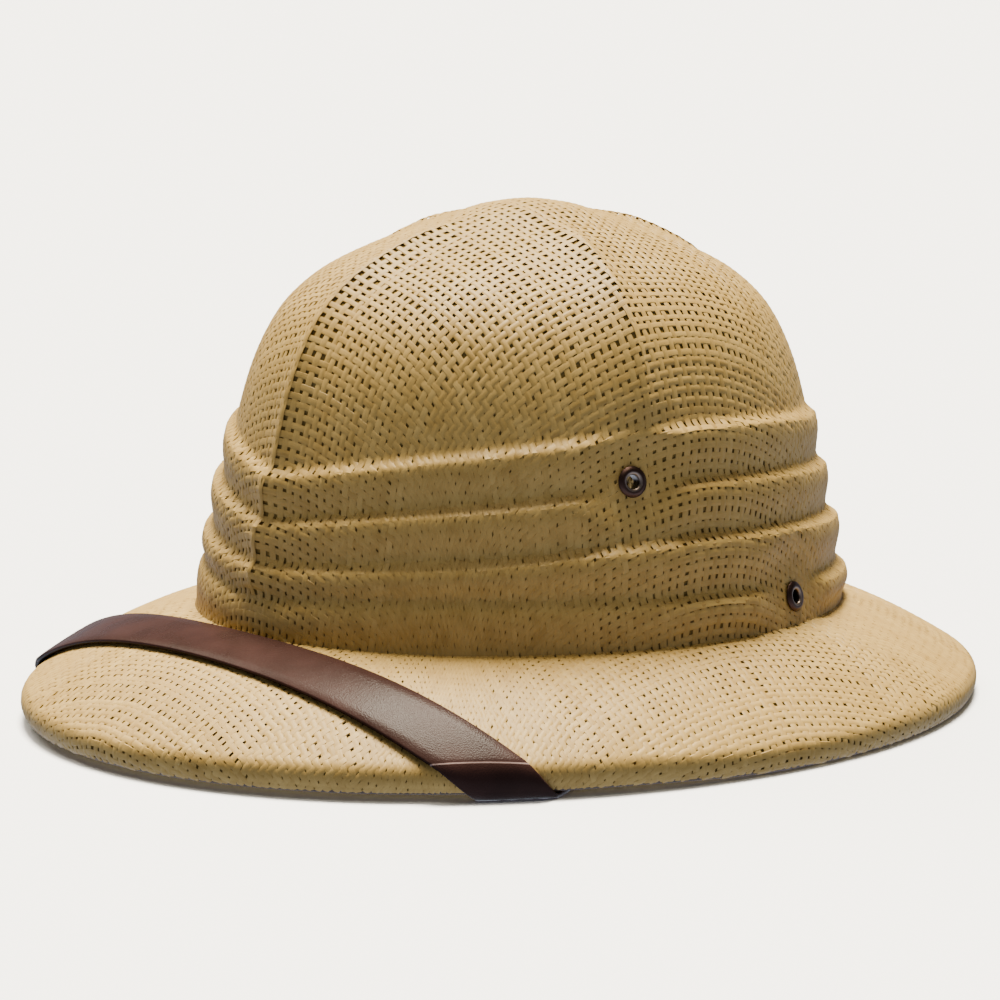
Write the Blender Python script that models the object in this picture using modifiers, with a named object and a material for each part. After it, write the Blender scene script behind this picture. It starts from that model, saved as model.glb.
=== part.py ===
"""Straw pith helmet, in metres: +Z up, the front of the hat at -Y, resting on its rim at Z = 0.

One blocked straw shell makes the crown, its four wound folds and the brim. The rim is bound, four
vent eyelets go through the wall, and a chin strap lies across the front of the brim, turns under
the rim at both sides and runs back to the lower eyelets, which hold its ends inside the crown.
"""
import math

import bmesh
import bpy
import numpy as np
from mathutils import Matrix, Vector
from mathutils.bvhtree import BVHTree

# Driving dimensions of the shell
BRIM_LENGTH = 0.345
BRIM_WIDTH = 0.295
CROWN_LENGTH = 0.234
CROWN_WIDTH = 0.200
CROWN_HEIGHT = 0.1366
CROWN_BACK = 0.0075
CROWN_LEAN = math.radians(1.0)
RING_HEIGHT = 0.0345
STRAW_WALL = 0.002
LEDGE_HEIGHT = 0.003
LIP_RADIUS = 0.0065
LIP_TOP = math.radians(55)
LIP_END = math.radians(-48)
BOW_FRONT = 0.70
BOW_BACK = 0.30
RIM_LIFT_ANGLE = math.radians(66)
RIM_LIFT_FADE = math.radians(26)

# Clearance between neighbouring pieces
GAP = 0.0003

# Binding, strap and eyelets
BINDING_WALL = 0.001
BINDING_HEIGHT = 0.005
BINDING_SHOWS = 0.0005
STRAP_WIDTH = 0.020
STRAP_THICKNESS = 0.0015
STRAP_OFF_CROWN = 0.003
STRAP_RIM_ANGLE = math.radians(51)
STRAP_TAB = 0.026
STRAP_FLAT = 0.015
STRAP_STAND_OFF = 0.0004
EYELET_FLANGE = 0.0052
EYELET_BACK_FLANGE = 0.0044
EYELET_BARREL = 0.0026
EYELET_HOLE = 0.0021
EYELET_METAL = 0.0005
EYELET_ROLL = 0.0011
SEAT_RADIUS = 0.016

# Mesh counts
AROUND = 54
TOP_ROWS = 12
BRIM_ROWS = 6
LIP_ROWS = 4
EYELET_SIDES = 16
STRAP_COLUMNS = 3
WRAP_ROWS = 9
FLAT_ROWS = 4
LAID_ROWS = 11
FREE_ROWS = 13

# Crown outline from the ring to the top: share of the crown's height, share of its half width
CROWN_PROFILE = (
    (0.000, 1.000),
    (0.180, 0.952),
    (0.380, 0.901),
    (0.585, 0.838),
    (0.727, 0.754),
    (0.816, 0.641),
    (0.876, 0.502),
    (0.927, 0.340),
    (0.956, 0.242),
    (0.985, 0.140),
    (1.000, 0.000),
)

# Folds, from the lowest up. Angles from the front for the columns, then height as shares of the
# crown's height and step as shares of the straw wall
FOLD_ANGLES = tuple(math.radians(a) for a in (0, 45, 90, 135, 180))
FOLDS = (
    {"height": (0.080, 0.117, 0.103, 0.088, 0.066), "step": (0.25, 0.40, 0.60, 0.70, 0.70)},
    {"height": (0.161, 0.209, 0.245, 0.220, 0.183), "step": (0.40, 0.60, 0.75, 0.75, 0.70)},
    {"height": (0.267, 0.337, 0.377, 0.348, 0.307), "step": (0.60, 0.80, 0.80, 0.75, 0.70)},
    {"height": (0.381, 0.465, 0.512, 0.476, 0.439), "step": (0.75, 0.75, 0.90, 0.75, 0.75)},
)

# Ridges: angle from the front, rise and half width as shares of the straw wall, and the share of
# the crown's height where the ridge starts
RIDGES = (
    {"angle": math.radians(0), "rise": 1.2, "half_width": 4.5, "start": -0.20},
    {"angle": math.radians(79), "rise": 1.1, "half_width": 4.5, "start": 0.46},
    {"angle": math.radians(-79), "rise": 1.1, "half_width": 4.5, "start": 0.46},
    {"angle": math.radians(180), "rise": 1.2, "half_width": 4.5, "start": 0.30},
)
RIDGE_FADE = 0.12
BOSS_EDGE = (0.16, 0.42)

# Vent eyelets on each side: angle from the front, share of the crown's height
EYELETS = {"upper": (math.radians(75), 0.393), "lower": (math.radians(111), 0.067)}

# Underside run of the strap between the rim and its tab: angle from the front, then distance inside
# the ring and height over the ring as shares of the strap's width
STRAP_RUN = (
    {"angle": math.radians(84), "inside": 0.16, "over": -0.66},
    {"angle": math.radians(95), "inside": 0.23, "over": -0.14},
)
TAB_RISE = math.radians(23)



def smooth(xs, ys, x, last_slope=None):
    """Value at x of a curve that runs through the rows without overshooting them."""
    xs, ys = np.asarray(xs, float), np.asarray(ys, float)
    steps = np.diff(ys) / np.diff(xs)
    slopes = np.concatenate([steps[:1], np.zeros(len(steps) - 1), steps[-1:]])
    for i in range(1, len(steps)):
        if steps[i - 1] * steps[i] > 0:
            slopes[i] = 2 * steps[i - 1] * steps[i] / (steps[i - 1] + steps[i])
    if last_slope is not None:
        slopes[-1] = last_slope
    i = int(np.clip(np.searchsorted(xs, x) - 1, 0, len(xs) - 2))
    span = xs[i + 1] - xs[i]
    q = (x - xs[i]) / span
    return ((2 * q**3 - 3 * q**2 + 1) * ys[i] + (q**3 - 2 * q**2 + q) * span * slopes[i]
            + (3 * q**2 - 2 * q**3) * ys[i + 1] + (q**3 - q**2) * span * slopes[i + 1])


def ease(x):
    """Smooth step from 0 to 1 as x goes from 0 to 1."""
    x = min(max(x, 0.0), 1.0)
    return x * x * (3 - 2 * x)


PROFILE_PLACES = np.concatenate([[0], np.cumsum([
    math.hypot((b[0] - a[0]) * CROWN_HEIGHT, (b[1] - a[1]) * CROWN_WIDTH / 2)
    for a, b in zip(CROWN_PROFILE, CROWN_PROFILE[1:])])])
PROFILE_LENGTH = PROFILE_PLACES[-1]
PROFILE_HEIGHTS = [row[0] * CROWN_HEIGHT for row in CROWN_PROFILE]
PROFILE_WIDTHS = [row[1] for row in CROWN_PROFILE]


def profile(place):
    """Height and share of the half width at a distance along the crown's outline."""
    height = smooth(PROFILE_PLACES, PROFILE_HEIGHTS, place, last_slope=0.0)
    return height, smooth(PROFILE_PLACES, PROFILE_WIDTHS, place)


PLACE_SAMPLES = np.linspace(0, PROFILE_LENGTH, 400)
HEIGHT_SAMPLES = np.array([profile(p)[0] for p in PLACE_SAMPLES])


def place_at_height(height):
    """Distance along the crown's outline at which it reaches a height."""
    return float(np.interp(height, HEIGHT_SAMPLES, PLACE_SAMPLES))


def around_value(columns, t):
    """Value at angle t of a row given at FOLD_ANGLES, alike on both sides of the hat."""
    return smooth(FOLD_ANGLES, columns, abs(t))


def plan_normal(t, half_width, half_length):
    """Outward direction in plan at angle t of an oval."""
    n = Vector((math.sin(t) / half_width, -math.cos(t) / half_length, 0.0))
    return n.normalized()


def angle_between(a, b):
    """Smallest angle between two directions round the hat."""
    return abs((a - b + math.pi) % (2 * math.pi) - math.pi)


def seat_share(t, height):
    """1 where an eyelet presses the straw flat, 0 away from the eyelets."""
    share = 0.0
    for angle, part in EYELETS.values():
        across = angle_between(abs(t), angle) * (CROWN_LENGTH + CROWN_WIDTH) / 4
        away = math.hypot(across, height - part * CROWN_HEIGHT)
        share = max(share, 1 - ease(away / SEAT_RADIUS - 0.5))
    return share


def fold_offset(t, height):
    """How far the folds push the wall out: each is proud below its ledge and tapers to the next."""
    total, floor = 0.0, 0.0
    for fold in FOLDS:
        top = around_value(fold["height"], t) * CROWN_HEIGHT
        step = around_value(fold["step"], t) * STRAW_WALL
        below = top - height
        rise = ease(below / LEDGE_HEIGHT + 0.5)
        taper = 1 - ease((below - LEDGE_HEIGHT) / max(top - floor - LEDGE_HEIGHT, LEDGE_HEIGHT))
        total += step * rise * taper
        floor = top
    return total * (1 - seat_share(t, height))


def ridge_offset(t, height, width_share):
    """How far the four ridges stand out of the upper crown."""
    total = 0.0
    round_half = (CROWN_LENGTH + CROWN_WIDTH) / 4 * width_share
    for ridge in RIDGES:
        away = angle_between(t, ridge["angle"]) * round_half / (ridge["half_width"] * STRAW_WALL)
        start = ease((height / CROWN_HEIGHT - ridge["start"]) / RIDGE_FADE)
        near_top = ease((width_share - BOSS_EDGE[0]) / (BOSS_EDGE[1] - BOSS_EDGE[0]))
        total += ridge["rise"] * STRAW_WALL * math.exp(-away * away) * start * near_top
    return total


def crown_point(t, place):
    """Point of the crown's outer surface, in the hat's frame."""
    height, share = profile(place)
    step = PROFILE_LENGTH / 400
    high, wide = profile(min(place + step, PROFILE_LENGTH))
    low, narrow = profile(max(place - step, 0))
    half_mean = (CROWN_LENGTH + CROWN_WIDTH) / 4
    side = Vector((high - low, (narrow - wide) * half_mean)).normalized()
    n = plan_normal(t, CROWN_WIDTH, CROWN_LENGTH) * side.x + Vector((0, 0, side.y))
    base = Vector((CROWN_WIDTH / 2 * share * math.sin(t), -CROWN_LENGTH / 2 * share * math.cos(t), height))
    p = base + n * (fold_offset(t, height) + ridge_offset(t, height, share))
    lean = Matrix.Rotation(-CROWN_LEAN, 3, "X")
    return lean @ p + Vector((0, CROWN_BACK, RING_HEIGHT))


def rim_rise(t):
    """The rim lies on the strap's two turns at the front and comes down again past them."""
    return (GAP + STRAP_THICKNESS) * (1 - ease((abs(t) - RIM_LIFT_ANGLE) / RIM_LIFT_FADE))


def lip_centre_height(t):
    """Height of the centre of the lip's round."""
    return BINDING_SHOWS - LIP_RADIUS * math.sin(LIP_END) + rim_rise(t)


def rim_oval(t):
    """Widest line of the brim in plan, at the height of the lip's round."""
    return Vector((BRIM_WIDTH / 2 * math.sin(t), -BRIM_LENGTH / 2 * math.cos(t), lip_centre_height(t)))


def lip_point(t, angle, radius=LIP_RADIUS):
    """Point of the lip's round at an elevation angle, at a radius from its centre."""
    n = plan_normal(t, BRIM_WIDTH, BRIM_LENGTH)
    out, up = radius * math.cos(angle) - LIP_RADIUS, radius * math.sin(angle)
    return rim_oval(t) + n * out + Vector((0, 0, up))


def brim_point(t, share):
    """Point of the brim's upper side, share 0 at the crown's ring and 1 where the lip starts."""
    inner, outer = crown_point(t, 0.0), lip_point(t, LIP_TOP)
    bow = (BOW_FRONT + BOW_BACK) / 2 + (BOW_FRONT - BOW_BACK) / 2 * math.cos(t)
    p = inner.lerp(outer, share)
    p.z = inner.z + (outer.z - inner.z) * (share - bow * share * (1 - share))
    return p


def shell_column(t):
    """Points of the shell's outer surface at angle t, from the lip's edge up to the top."""
    column = [lip_point(t, LIP_END + (LIP_TOP - LIP_END) * i / LIP_ROWS) for i in range(LIP_ROWS)]
    column += [brim_point(t, 1 - i / BRIM_ROWS) for i in range(BRIM_ROWS)]
    column.append(brim_point(t, GAP / STRAW_WALL / 4))
    heights, floor = [STRAW_WALL], 0.0
    for fold in FOLDS:
        ledge = around_value(fold["height"], t) * CROWN_HEIGHT
        if floor:
            heights.append((floor + ledge) / 2)
        heights += [ledge - LEDGE_HEIGHT / 2, ledge + LEDGE_HEIGHT / 2]
        floor = ledge
    places = [place_at_height(h) for h in heights]
    start = places[-1]
    places += [start + (PROFILE_LENGTH - start) * i / TOP_ROWS for i in range(1, TOP_ROWS + 1)]
    return column + [crown_point(t, p) for p in places]


def surface_from_columns(name, columns):
    """Quad sheet through columns of points that go all the way round, its seam and pole welded."""
    count, rows = len(columns), len(columns[0])
    bm = bmesh.new()
    bmesh.ops.create_grid(bm, x_segments=count, y_segments=rows - 1, size=1)
    for v in bm.verts:
        i = round((v.co.x + 1) / 2 * count) % count
        j = round((v.co.y + 1) / 2 * (rows - 1))
        v.co = columns[i][j]
    bmesh.ops.remove_doubles(bm, verts=bm.verts, dist=1e-6)
    mesh = bpy.data.meshes.new(name)
    bm.to_mesh(mesh)
    bm.free()
    return mesh


def add_object(name, mesh, collection, material):
    """Object in a collection, with its material and smooth sides."""
    ob = bpy.data.objects.new(name, mesh)
    collection.objects.link(ob)
    mesh.materials.append(material)
    mesh.shade_smooth()
    mesh.set_sharp_from_angle(angle=math.radians(40))
    return ob


def make_material(name, colour, roughness, metallic=0.0):
    """Principled material with a linear colour."""
    material = bpy.data.materials.new(name)
    material.use_nodes = True
    shader = material.node_tree.nodes["Principled BSDF"]
    shader.inputs["Base Color"].default_value = (*colour, 1.0)
    shader.inputs["Roughness"].default_value = roughness
    shader.inputs["Metallic"].default_value = metallic
    return material


def solid_walls(ob, thickness, offset):
    """Solidify modifier with an even wall."""
    wall = ob.modifiers.new("Wall", "SOLIDIFY")
    wall.thickness = thickness
    wall.offset = offset
    wall.use_even_offset = True


def evaluated_tree(ob):
    """Search tree of an object's evaluated mesh."""
    depsgraph = bpy.context.evaluated_depsgraph_get()
    return BVHTree.FromObject(ob, depsgraph)


def around_angles():
    """Angles of the shell's columns, from the back round by the front."""
    return [-math.pi + 2 * math.pi * i / AROUND for i in range(AROUND)]


def build_shell(collection, material):
    """Crown, folds and brim as one blocked shell."""
    mesh = surface_from_columns("straw_shell", [shell_column(t) for t in around_angles()])
    shell = add_object("straw_shell", mesh, collection, material)
    solid_walls(shell, STRAW_WALL, -1.0)
    return shell


def binding_column(t):
    """Middle of the binding at angle t: a strip inside the lip that shows a little below its edge."""
    edge = lip_point(t, LIP_END)
    last_facet = LIP_END + (LIP_TOP - LIP_END) / LIP_ROWS / 2
    inwards = STRAW_WALL * math.cos(last_facet) + GAP + BINDING_WALL / 2
    inner = edge - plan_normal(t, BRIM_WIDTH, BRIM_LENGTH) * inwards
    low = edge.z - BINDING_SHOWS
    return [Vector((inner.x, inner.y, low + BINDING_HEIGHT * share)) for share in (1.0, 0.5, 0.0)]


def build_binding(collection, material):
    """Strip inside the rim."""
    mesh = surface_from_columns("brim_binding", [binding_column(t) for t in around_angles()])
    binding = add_object("brim_binding", mesh, collection, material)
    solid_walls(binding, BINDING_WALL, 0.0)
    return binding


def wrap_profile():
    """The strap's inner face past the brim: outward, height and normal by distance from LIP_TOP."""
    turn_end = LIP_END - math.radians(2)
    radius = LIP_RADIUS + GAP + STRAP_STAND_OFF
    points = []
    for i in range(13):
        angle = LIP_TOP + (turn_end - LIP_TOP) * i / 12
        points.append((radius * math.cos(angle) - LIP_RADIUS, radius * math.sin(angle)))
    bottom = LIP_RADIUS * math.sin(LIP_END) - BINDING_SHOWS - GAP
    small = (points[-1][1] - bottom) / (1 + math.sin(turn_end))
    centre = (points[-1][0] - small * math.cos(turn_end), bottom + small)
    for i in range(1, 5):
        angle = turn_end + (math.radians(-90) - turn_end) * i / 4
        points.append((centre[0] + small * math.cos(angle), centre[1] + small * math.sin(angle)))
    points.append((points[-1][0] - STRAP_FLAT - 2 * STRAP_WIDTH, points[-1][1]))
    return np.array(points)


WRAP = wrap_profile()
WRAP_PLACES = np.concatenate([[0], np.cumsum(np.hypot(*np.diff(WRAP, axis=0).T))])
WRAP_FLAT_PLACE = WRAP_PLACES[-2]


def wrap_place(beyond):
    """Outward and upward place on the wrap profile at a distance past the lip's upper line."""
    return np.interp(beyond, WRAP_PLACES, WRAP[:, 0]), np.interp(beyond, WRAP_PLACES, WRAP[:, 1])


def nearest_rim_angle(p):
    """Angle of the point of the lip's upper line that is nearest in plan."""
    low, high = 0.0, math.pi
    for _ in range(6):
        samples = np.linspace(low, high, 25)
        gaps = [(lip_point(t, LIP_TOP).xy - p.xy).length for t in samples]
        best = int(np.argmin(gaps))
        low, high = samples[max(best - 1, 0)], samples[min(best + 1, 24)]
    return (low + high) / 2


def brim_under(p):
    """Point and normal of the brim's upper side at a plan position with X at or above 0."""
    share, t = 0.5, math.atan2(p.x, -p.y)
    for _ in range(25):
        here = brim_point(t, share)
        out = (brim_point(t, share + 0.01) - here).xy / 0.01
        along = (brim_point(t + 0.01, share) - here).xy / 0.01
        miss = p.xy - here.xy
        area = out.cross(along)
        share += miss.cross(along) / area
        t += out.cross(miss) / area
    here = brim_point(t, share)
    out = brim_point(t, share + 0.01) - here
    along = brim_point(t + 0.01, share) - here
    return here, out.cross(along).normalized()


def wrapped(p):
    """Strap's inner face and outward normal for a place on the brim laid flat in plan."""
    t = nearest_rim_angle(p)
    n = plan_normal(t, BRIM_WIDTH, BRIM_LENGTH)
    start = lip_point(t, LIP_TOP)
    beyond = (p - start).xy.dot(n.xy)
    if beyond <= 0:
        here, normal = brim_under(p)
        return here + normal * (GAP + STRAP_STAND_OFF), normal
    out, up = wrap_place(beyond)
    behind, ahead = wrap_place(max(beyond - GAP, 0)), wrap_place(beyond + GAP)
    normal = (n * (behind[1] - ahead[1]) + Vector((0, 0, ahead[0] - behind[0]))).normalized()
    return rim_oval(t) + n * out + Vector((0, 0, up)), normal


def strap_line(q):
    """Middle of the strap laid flat in plan and its direction: 0 on the hat's middle, 1 at the lip."""
    front = crown_point(0.0, 0.0).y - STRAP_OFF_CROWN - STRAP_WIDTH / 2
    end = lip_point(STRAP_RIM_ANGLE, LIP_TOP)
    bend = min(q, 1.0)
    p = Vector((end.x * q, front + (end.y - front) * (bend * bend + 2 * (q - bend)), 0.0))
    direction = Vector((end.x, (end.y - front) * 2 * bend, 0.0)).normalized()
    return p, direction


RIM_LINE = lip_point(STRAP_RIM_ANGLE + 0.01, LIP_TOP) - lip_point(STRAP_RIM_ANGLE - 0.01, LIP_TOP)


COLUMN_PLACES = [STRAP_WIDTH * (k / STRAP_COLUMNS - 0.5) for k in range(STRAP_COLUMNS + 1)]


def strap_stations():
    """Places along the laid and wrapped stretch, each with how far its row turns to follow the rim."""
    end, direction = strap_line(1.0)
    across_rim = end.x * direction.dot(plan_normal(STRAP_RIM_ANGLE, BRIM_WIDTH, BRIM_LENGTH)) / direction.x
    stations = [(i / LAID_ROWS, ease((i / LAID_ROWS - 0.2) / 0.7)) for i in range(LAID_ROWS)]
    stations += [(1 + WRAP_FLAT_PLACE * i / WRAP_ROWS / across_rim, 1.0) for i in range(WRAP_ROWS + 1)]
    for i in range(1, FLAT_ROWS + 1):
        share = i / FLAT_ROWS
        stations.append((1 + (WRAP_FLAT_PLACE + STRAP_FLAT * share) / across_rim, 1 - ease(share)))
    return stations


def eyelet_axis(name, tree):
    """Seat point on the wall and outward direction of the eyelet on the +X side."""
    angle, part = EYELETS[name]
    place = place_at_height(part * CROWN_HEIGHT)
    step = PROFILE_LENGTH / 100
    here = crown_point(angle, place)
    normal = (crown_point(angle + 0.05, place) - crown_point(angle - 0.05, place)).cross(
        crown_point(angle, place + step) - crown_point(angle, max(place - step, 0))).normalized()
    hit = tree.ray_cast(here + normal * EYELET_FLANGE, -normal)[0]
    return hit, normal


def disc_points(centre, normal, radius):
    """Centre and two rings of points of a disc."""
    side = normal.orthogonal().normalized()
    other = normal.cross(side)
    points = [centre]
    for share in (0.5, 1.0):
        for i in range(12):
            a = math.pi / 6 * i
            points.append(centre + (side * math.cos(a) + other * math.sin(a)) * radius * share)
    return points


def proud(tree, points, direction, reach=0.02):
    """Largest distance along direction, from the plane of the points, of what lies under them."""
    highest = -reach
    for p in points:
        hit = tree.ray_cast(p + direction * reach, -direction, 3 * reach)[0]
        if hit is not None:
            highest = max(highest, (hit - p).dot(direction))
    return highest


def tab_frame(axis):
    """Directions along and across the strap's tab, which lies flat on the wall and climbs backwards."""
    level = Vector((-axis.y, axis.x, 0)).normalized()
    up = axis.cross(level)
    along = level * math.cos(TAB_RISE) + up * math.sin(TAB_RISE)
    return along, level * math.sin(TAB_RISE) - up * math.cos(TAB_RISE)


def tab_centre(tree, seat, axis):
    """Middle of the tab's outer face, clear of the wall behind all of it."""
    along, across = tab_frame(axis)
    face = seat - axis * STRAW_WALL
    grid = [face + along * (STRAP_TAB * a) + across * (STRAP_WIDTH * b)
            for a in (-0.5, -0.25, 0, 0.25, 0.5) for b in (-0.5, -0.25, 0, 0.25, 0.5)]
    return face - axis * (proud(tree, grid, -axis) + 2 * GAP)


def laid_rows():
    """Rows of points and normals of the strap's inner face on the brim, round the lip and just under it."""
    rows = []
    for q, skew in strap_stations():
        p, direction = strap_line(q)
        side = Vector((-direction.y, direction.x, 0))
        row = side.lerp(RIM_LINE / RIM_LINE.dot(side), skew)
        rows.append([wrapped(p + row * w) for w in COLUMN_PLACES])
    for point, normal in rows[0]:
        point.x = 0.0
        normal.x = 0.0
        normal.normalize()
    return rows


def run_curve(knots, first, last):
    """Smooth curve through knots with its end directions: a function of the distance along it."""
    points = np.array(knots)
    spans = np.linalg.norm(np.diff(points, axis=0), axis=1)
    places = np.concatenate([[0], np.cumsum(spans)])
    steps = np.diff(points, axis=0) / spans[:, None]
    matrix, right = np.eye(len(points)), np.array([first] * len(points))
    for i in range(1, len(spans)):
        matrix[i, i - 1:i + 2] = spans[i], 2 * (spans[i - 1] + spans[i]), spans[i - 1]
        right[i] = 3 * (spans[i] * steps[i - 1] + spans[i - 1] * steps[i])
    right[-1] = last
    slopes = np.linalg.solve(matrix, right)

    def at(place):
        i = int(np.clip(np.searchsorted(places, place) - 1, 0, len(spans) - 1))
        q, span = (place - places[i]) / spans[i], spans[i]
        weights = 2 * q**3 - 3 * q**2 + 1, (q**3 - 2 * q**2 + q) * span
        weights += 3 * q**2 - 2 * q**3, (q**3 - q**2) * span
        ends = points[i], slopes[i], points[i + 1], slopes[i + 1]
        return Vector(sum(w * e for w, e in zip(weights, ends)))
    return at, places[-1]


def free_rows(before, last, tree, seat, axis):
    """Rows of the free stretch from under the rim to the end of the tab, turning up on the way."""
    along, across = tab_frame(axis)
    tab_start = tab_centre(tree, seat, axis) - along * (STRAP_TAB / 2)
    start_side = (last[-1][0] - last[0][0]).normalized()
    start = (last[0][0] + last[-1][0]) / 2
    knots = [start]
    for row in STRAP_RUN:
        inside = STRAW_WALL + row["inside"] * STRAP_WIDTH
        knots.append(Vector((
            (CROWN_WIDTH / 2 - inside) * math.sin(row["angle"]),
            CROWN_BACK - (CROWN_LENGTH / 2 - inside) * math.cos(row["angle"]),
            RING_HEIGHT + row["over"] * STRAP_WIDTH)))
    knots.append(tab_start)
    first = (start - (before[0][0] + before[-1][0]) / 2).normalized()
    at, length = run_curve(knots, first, along)
    rows, face = [], last[0][1]
    for i in range(1, FREE_ROWS + 1):
        share = i / FREE_ROWS
        p = at(share * length)
        d = (at((share + 0.001) * length) - at((share - 0.001) * length)).normalized()
        side = start_side.lerp(across, ease(share))
        side = (side - d * side.dot(d)).normalized()
        normal = d.cross(side)
        face = normal if normal.dot(face) > 0 else -normal
        rows.append([(p + side * w, face) for w in COLUMN_PLACES])
    for share in (0.5, 1.0):
        rows.append([(p + along * (STRAP_TAB * share) + across * w, face) for w in COLUMN_PLACES])
    return rows


def build_strap(collection, material, shell_tree, seat, axis):
    """Chin strap: one half laid on the brim, turned under the lip and led to the lower eyelet."""
    rows = laid_rows()
    rows += free_rows(rows[-2], rows[-1], shell_tree, seat, axis)
    bm = bmesh.new()
    rings = []
    for row in rows:
        outer = [p + n * STRAP_THICKNESS for p, n in row]
        rings.append([bm.verts.new(p) for p in [p for p, _ in row] + outer[::-1]])
    size = len(rings[0])
    for a, b in zip(rings, rings[1:]):
        for k in range(size):
            bm.faces.new((a[k], a[(k + 1) % size], b[(k + 1) % size], b[k]))
    last = rings[-1]
    for k in range(STRAP_COLUMNS):
        bm.faces.new((last[k], last[k + 1], last[size - 2 - k], last[size - 1 - k]))
    bmesh.ops.recalc_face_normals(bm, faces=bm.faces)
    mesh = bpy.data.meshes.new("chin_strap")
    bm.to_mesh(mesh)
    bm.free()
    strap = add_object("chin_strap", mesh, collection, material)
    mirror = strap.modifiers.new("Both sides", "MIRROR")
    mirror.merge_threshold = 0.00001
    return strap


def build_eyelet(name, collection, material, seat, axis, front, back):
    """Turned eyelet: rolled flange outside, barrel through the wall and turned-over flange inside."""
    high = front + GAP
    low = back - GAP
    crest = high + EYELET_ROLL
    lip = (EYELET_FLANGE + EYELET_BARREL) / 2
    outline = [
        (EYELET_HOLE, crest - EYELET_METAL),
        (EYELET_BARREL, crest),
        (lip, crest + EYELET_METAL / 2),
        (EYELET_FLANGE - EYELET_METAL, crest - EYELET_METAL),
        (EYELET_FLANGE, high + EYELET_METAL / 2),
        (EYELET_FLANGE - EYELET_METAL, high),
        (EYELET_BARREL, high),
        (EYELET_BARREL, low),
        (EYELET_BACK_FLANGE, low),
        (EYELET_BACK_FLANGE, low - EYELET_METAL),
        (EYELET_HOLE, low - EYELET_METAL),
    ]
    mesh = bpy.data.meshes.new(name)
    points = [(r, 0.0, z) for r, z in outline]
    edges = [(i, (i + 1) % len(points)) for i in range(len(points))]
    mesh.from_pydata(points, edges, [])
    eyelet = add_object(name, mesh, collection, material)
    screw = eyelet.modifiers.new("Turned", "SCREW")
    screw.steps = EYELET_SIDES
    screw.render_steps = EYELET_SIDES
    screw.use_merge_vertices = True
    screw.merge_threshold = 0.00001
    screw.use_normal_calculate = True
    screw.use_smooth_shade = True
    eyelet.matrix_world = Matrix.Translation(seat) @ axis.to_track_quat("Z", "Y").to_matrix().to_4x4()
    return eyelet


def add_hole_cutter(name, collection, seat, axis, length):
    """Round cutter along an eyelet's axis."""
    bm = bmesh.new()
    r = EYELET_BARREL + GAP
    bmesh.ops.create_cone(bm, cap_ends=True, segments=EYELET_SIDES, radius1=r, radius2=r, depth=length)
    mesh = bpy.data.meshes.new(name)
    bm.to_mesh(mesh)
    bm.free()
    cutter = bpy.data.objects.new(name, mesh)
    collection.objects.link(cutter)
    cutter.matrix_world = Matrix.Translation(seat) @ axis.to_track_quat("Z", "Y").to_matrix().to_4x4()
    cutter.hide_render = True
    cutter.display_type = "WIRE"
    return cutter


def cut(ob, cutter):
    """Boolean difference."""
    hole = ob.modifiers.new(cutter.name, "BOOLEAN")
    hole.operation = "DIFFERENCE"
    hole.solver = "EXACT"
    hole.object = cutter


def clear_scene():
    """Remove what a new file starts with."""
    for ob in list(bpy.data.objects):
        bpy.data.objects.remove(ob, do_unlink=True)


def main():
    """Build the hat's pieces in the order they are put together."""
    clear_scene()
    hat = bpy.data.collections.new("straw_pith_helmet")
    cutters = bpy.data.collections.new("cutters")
    for collection in (hat, cutters):
        bpy.context.scene.collection.children.link(collection)
    straw = make_material("woven_straw", (0.62, 0.47, 0.27), 0.75)
    leatherette = make_material("leatherette", (0.075, 0.035, 0.03), 0.35)
    metal = make_material("antique_metal", (0.06, 0.045, 0.04), 0.4, 0.9)

    shell = build_shell(hat, straw)
    build_binding(hat, leatherette)
    shell_tree = evaluated_tree(shell)
    seats = {name: eyelet_axis(name, shell_tree) for name in EYELETS}
    strap = build_strap(hat, leatherette, shell_tree, *seats["lower"])
    strap_tree = evaluated_tree(strap)

    hole_length = 4 * EYELET_FLANGE
    for name, (seat, axis) in seats.items():
        front = proud(shell_tree, disc_points(seat, axis, EYELET_FLANGE), axis)
        inner_tree = strap_tree if name == "lower" else shell_tree
        inner_plane = disc_points(seat, axis, EYELET_BACK_FLANGE)
        back = -proud(inner_tree, inner_plane, -axis)
        for side, sign in (("left", 1), ("right", -1)):
            mirrored = Vector((sign, 1, 1))
            place, direction = seat * mirrored, axis * mirrored
            build_eyelet(f"eyelet_{name}_{side}", hat, metal, place, direction, front, back)
            cutter = add_hole_cutter(f"hole_{name}_{side}", cutters, place, direction, hole_length)
            cut(shell, cutter)
            if name == "lower":
                cut(strap, cutter)


main()
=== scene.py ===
"""Straw pith helmet: woven paper straw, bound rim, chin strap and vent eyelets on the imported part.

Everything is in metres in the part's own frame: +Z up, the front of the hat at -Y, resting at Z = 0.
The straw is laid the way the real hood is blocked. One square cloth is draped from the top of the
crown with its threads along the hat's two middle lines, so that its rows arch over the front and the
sides and close up in between. Every thread of that net is a yarn that passes over and under the rest.
"""

import logging
import math
from collections.abc import Iterator
from contextlib import contextmanager
from dataclasses import dataclass, field
from enum import Enum
from math import cos, pi, radians, sin

import bmesh
import bpy
import numpy as np
from bpy.types import Material, Mesh, Node, NodeSocket, NodeTree, Object
from mathutils import Matrix, Vector
from mathutils.kdtree import KDTree

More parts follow.
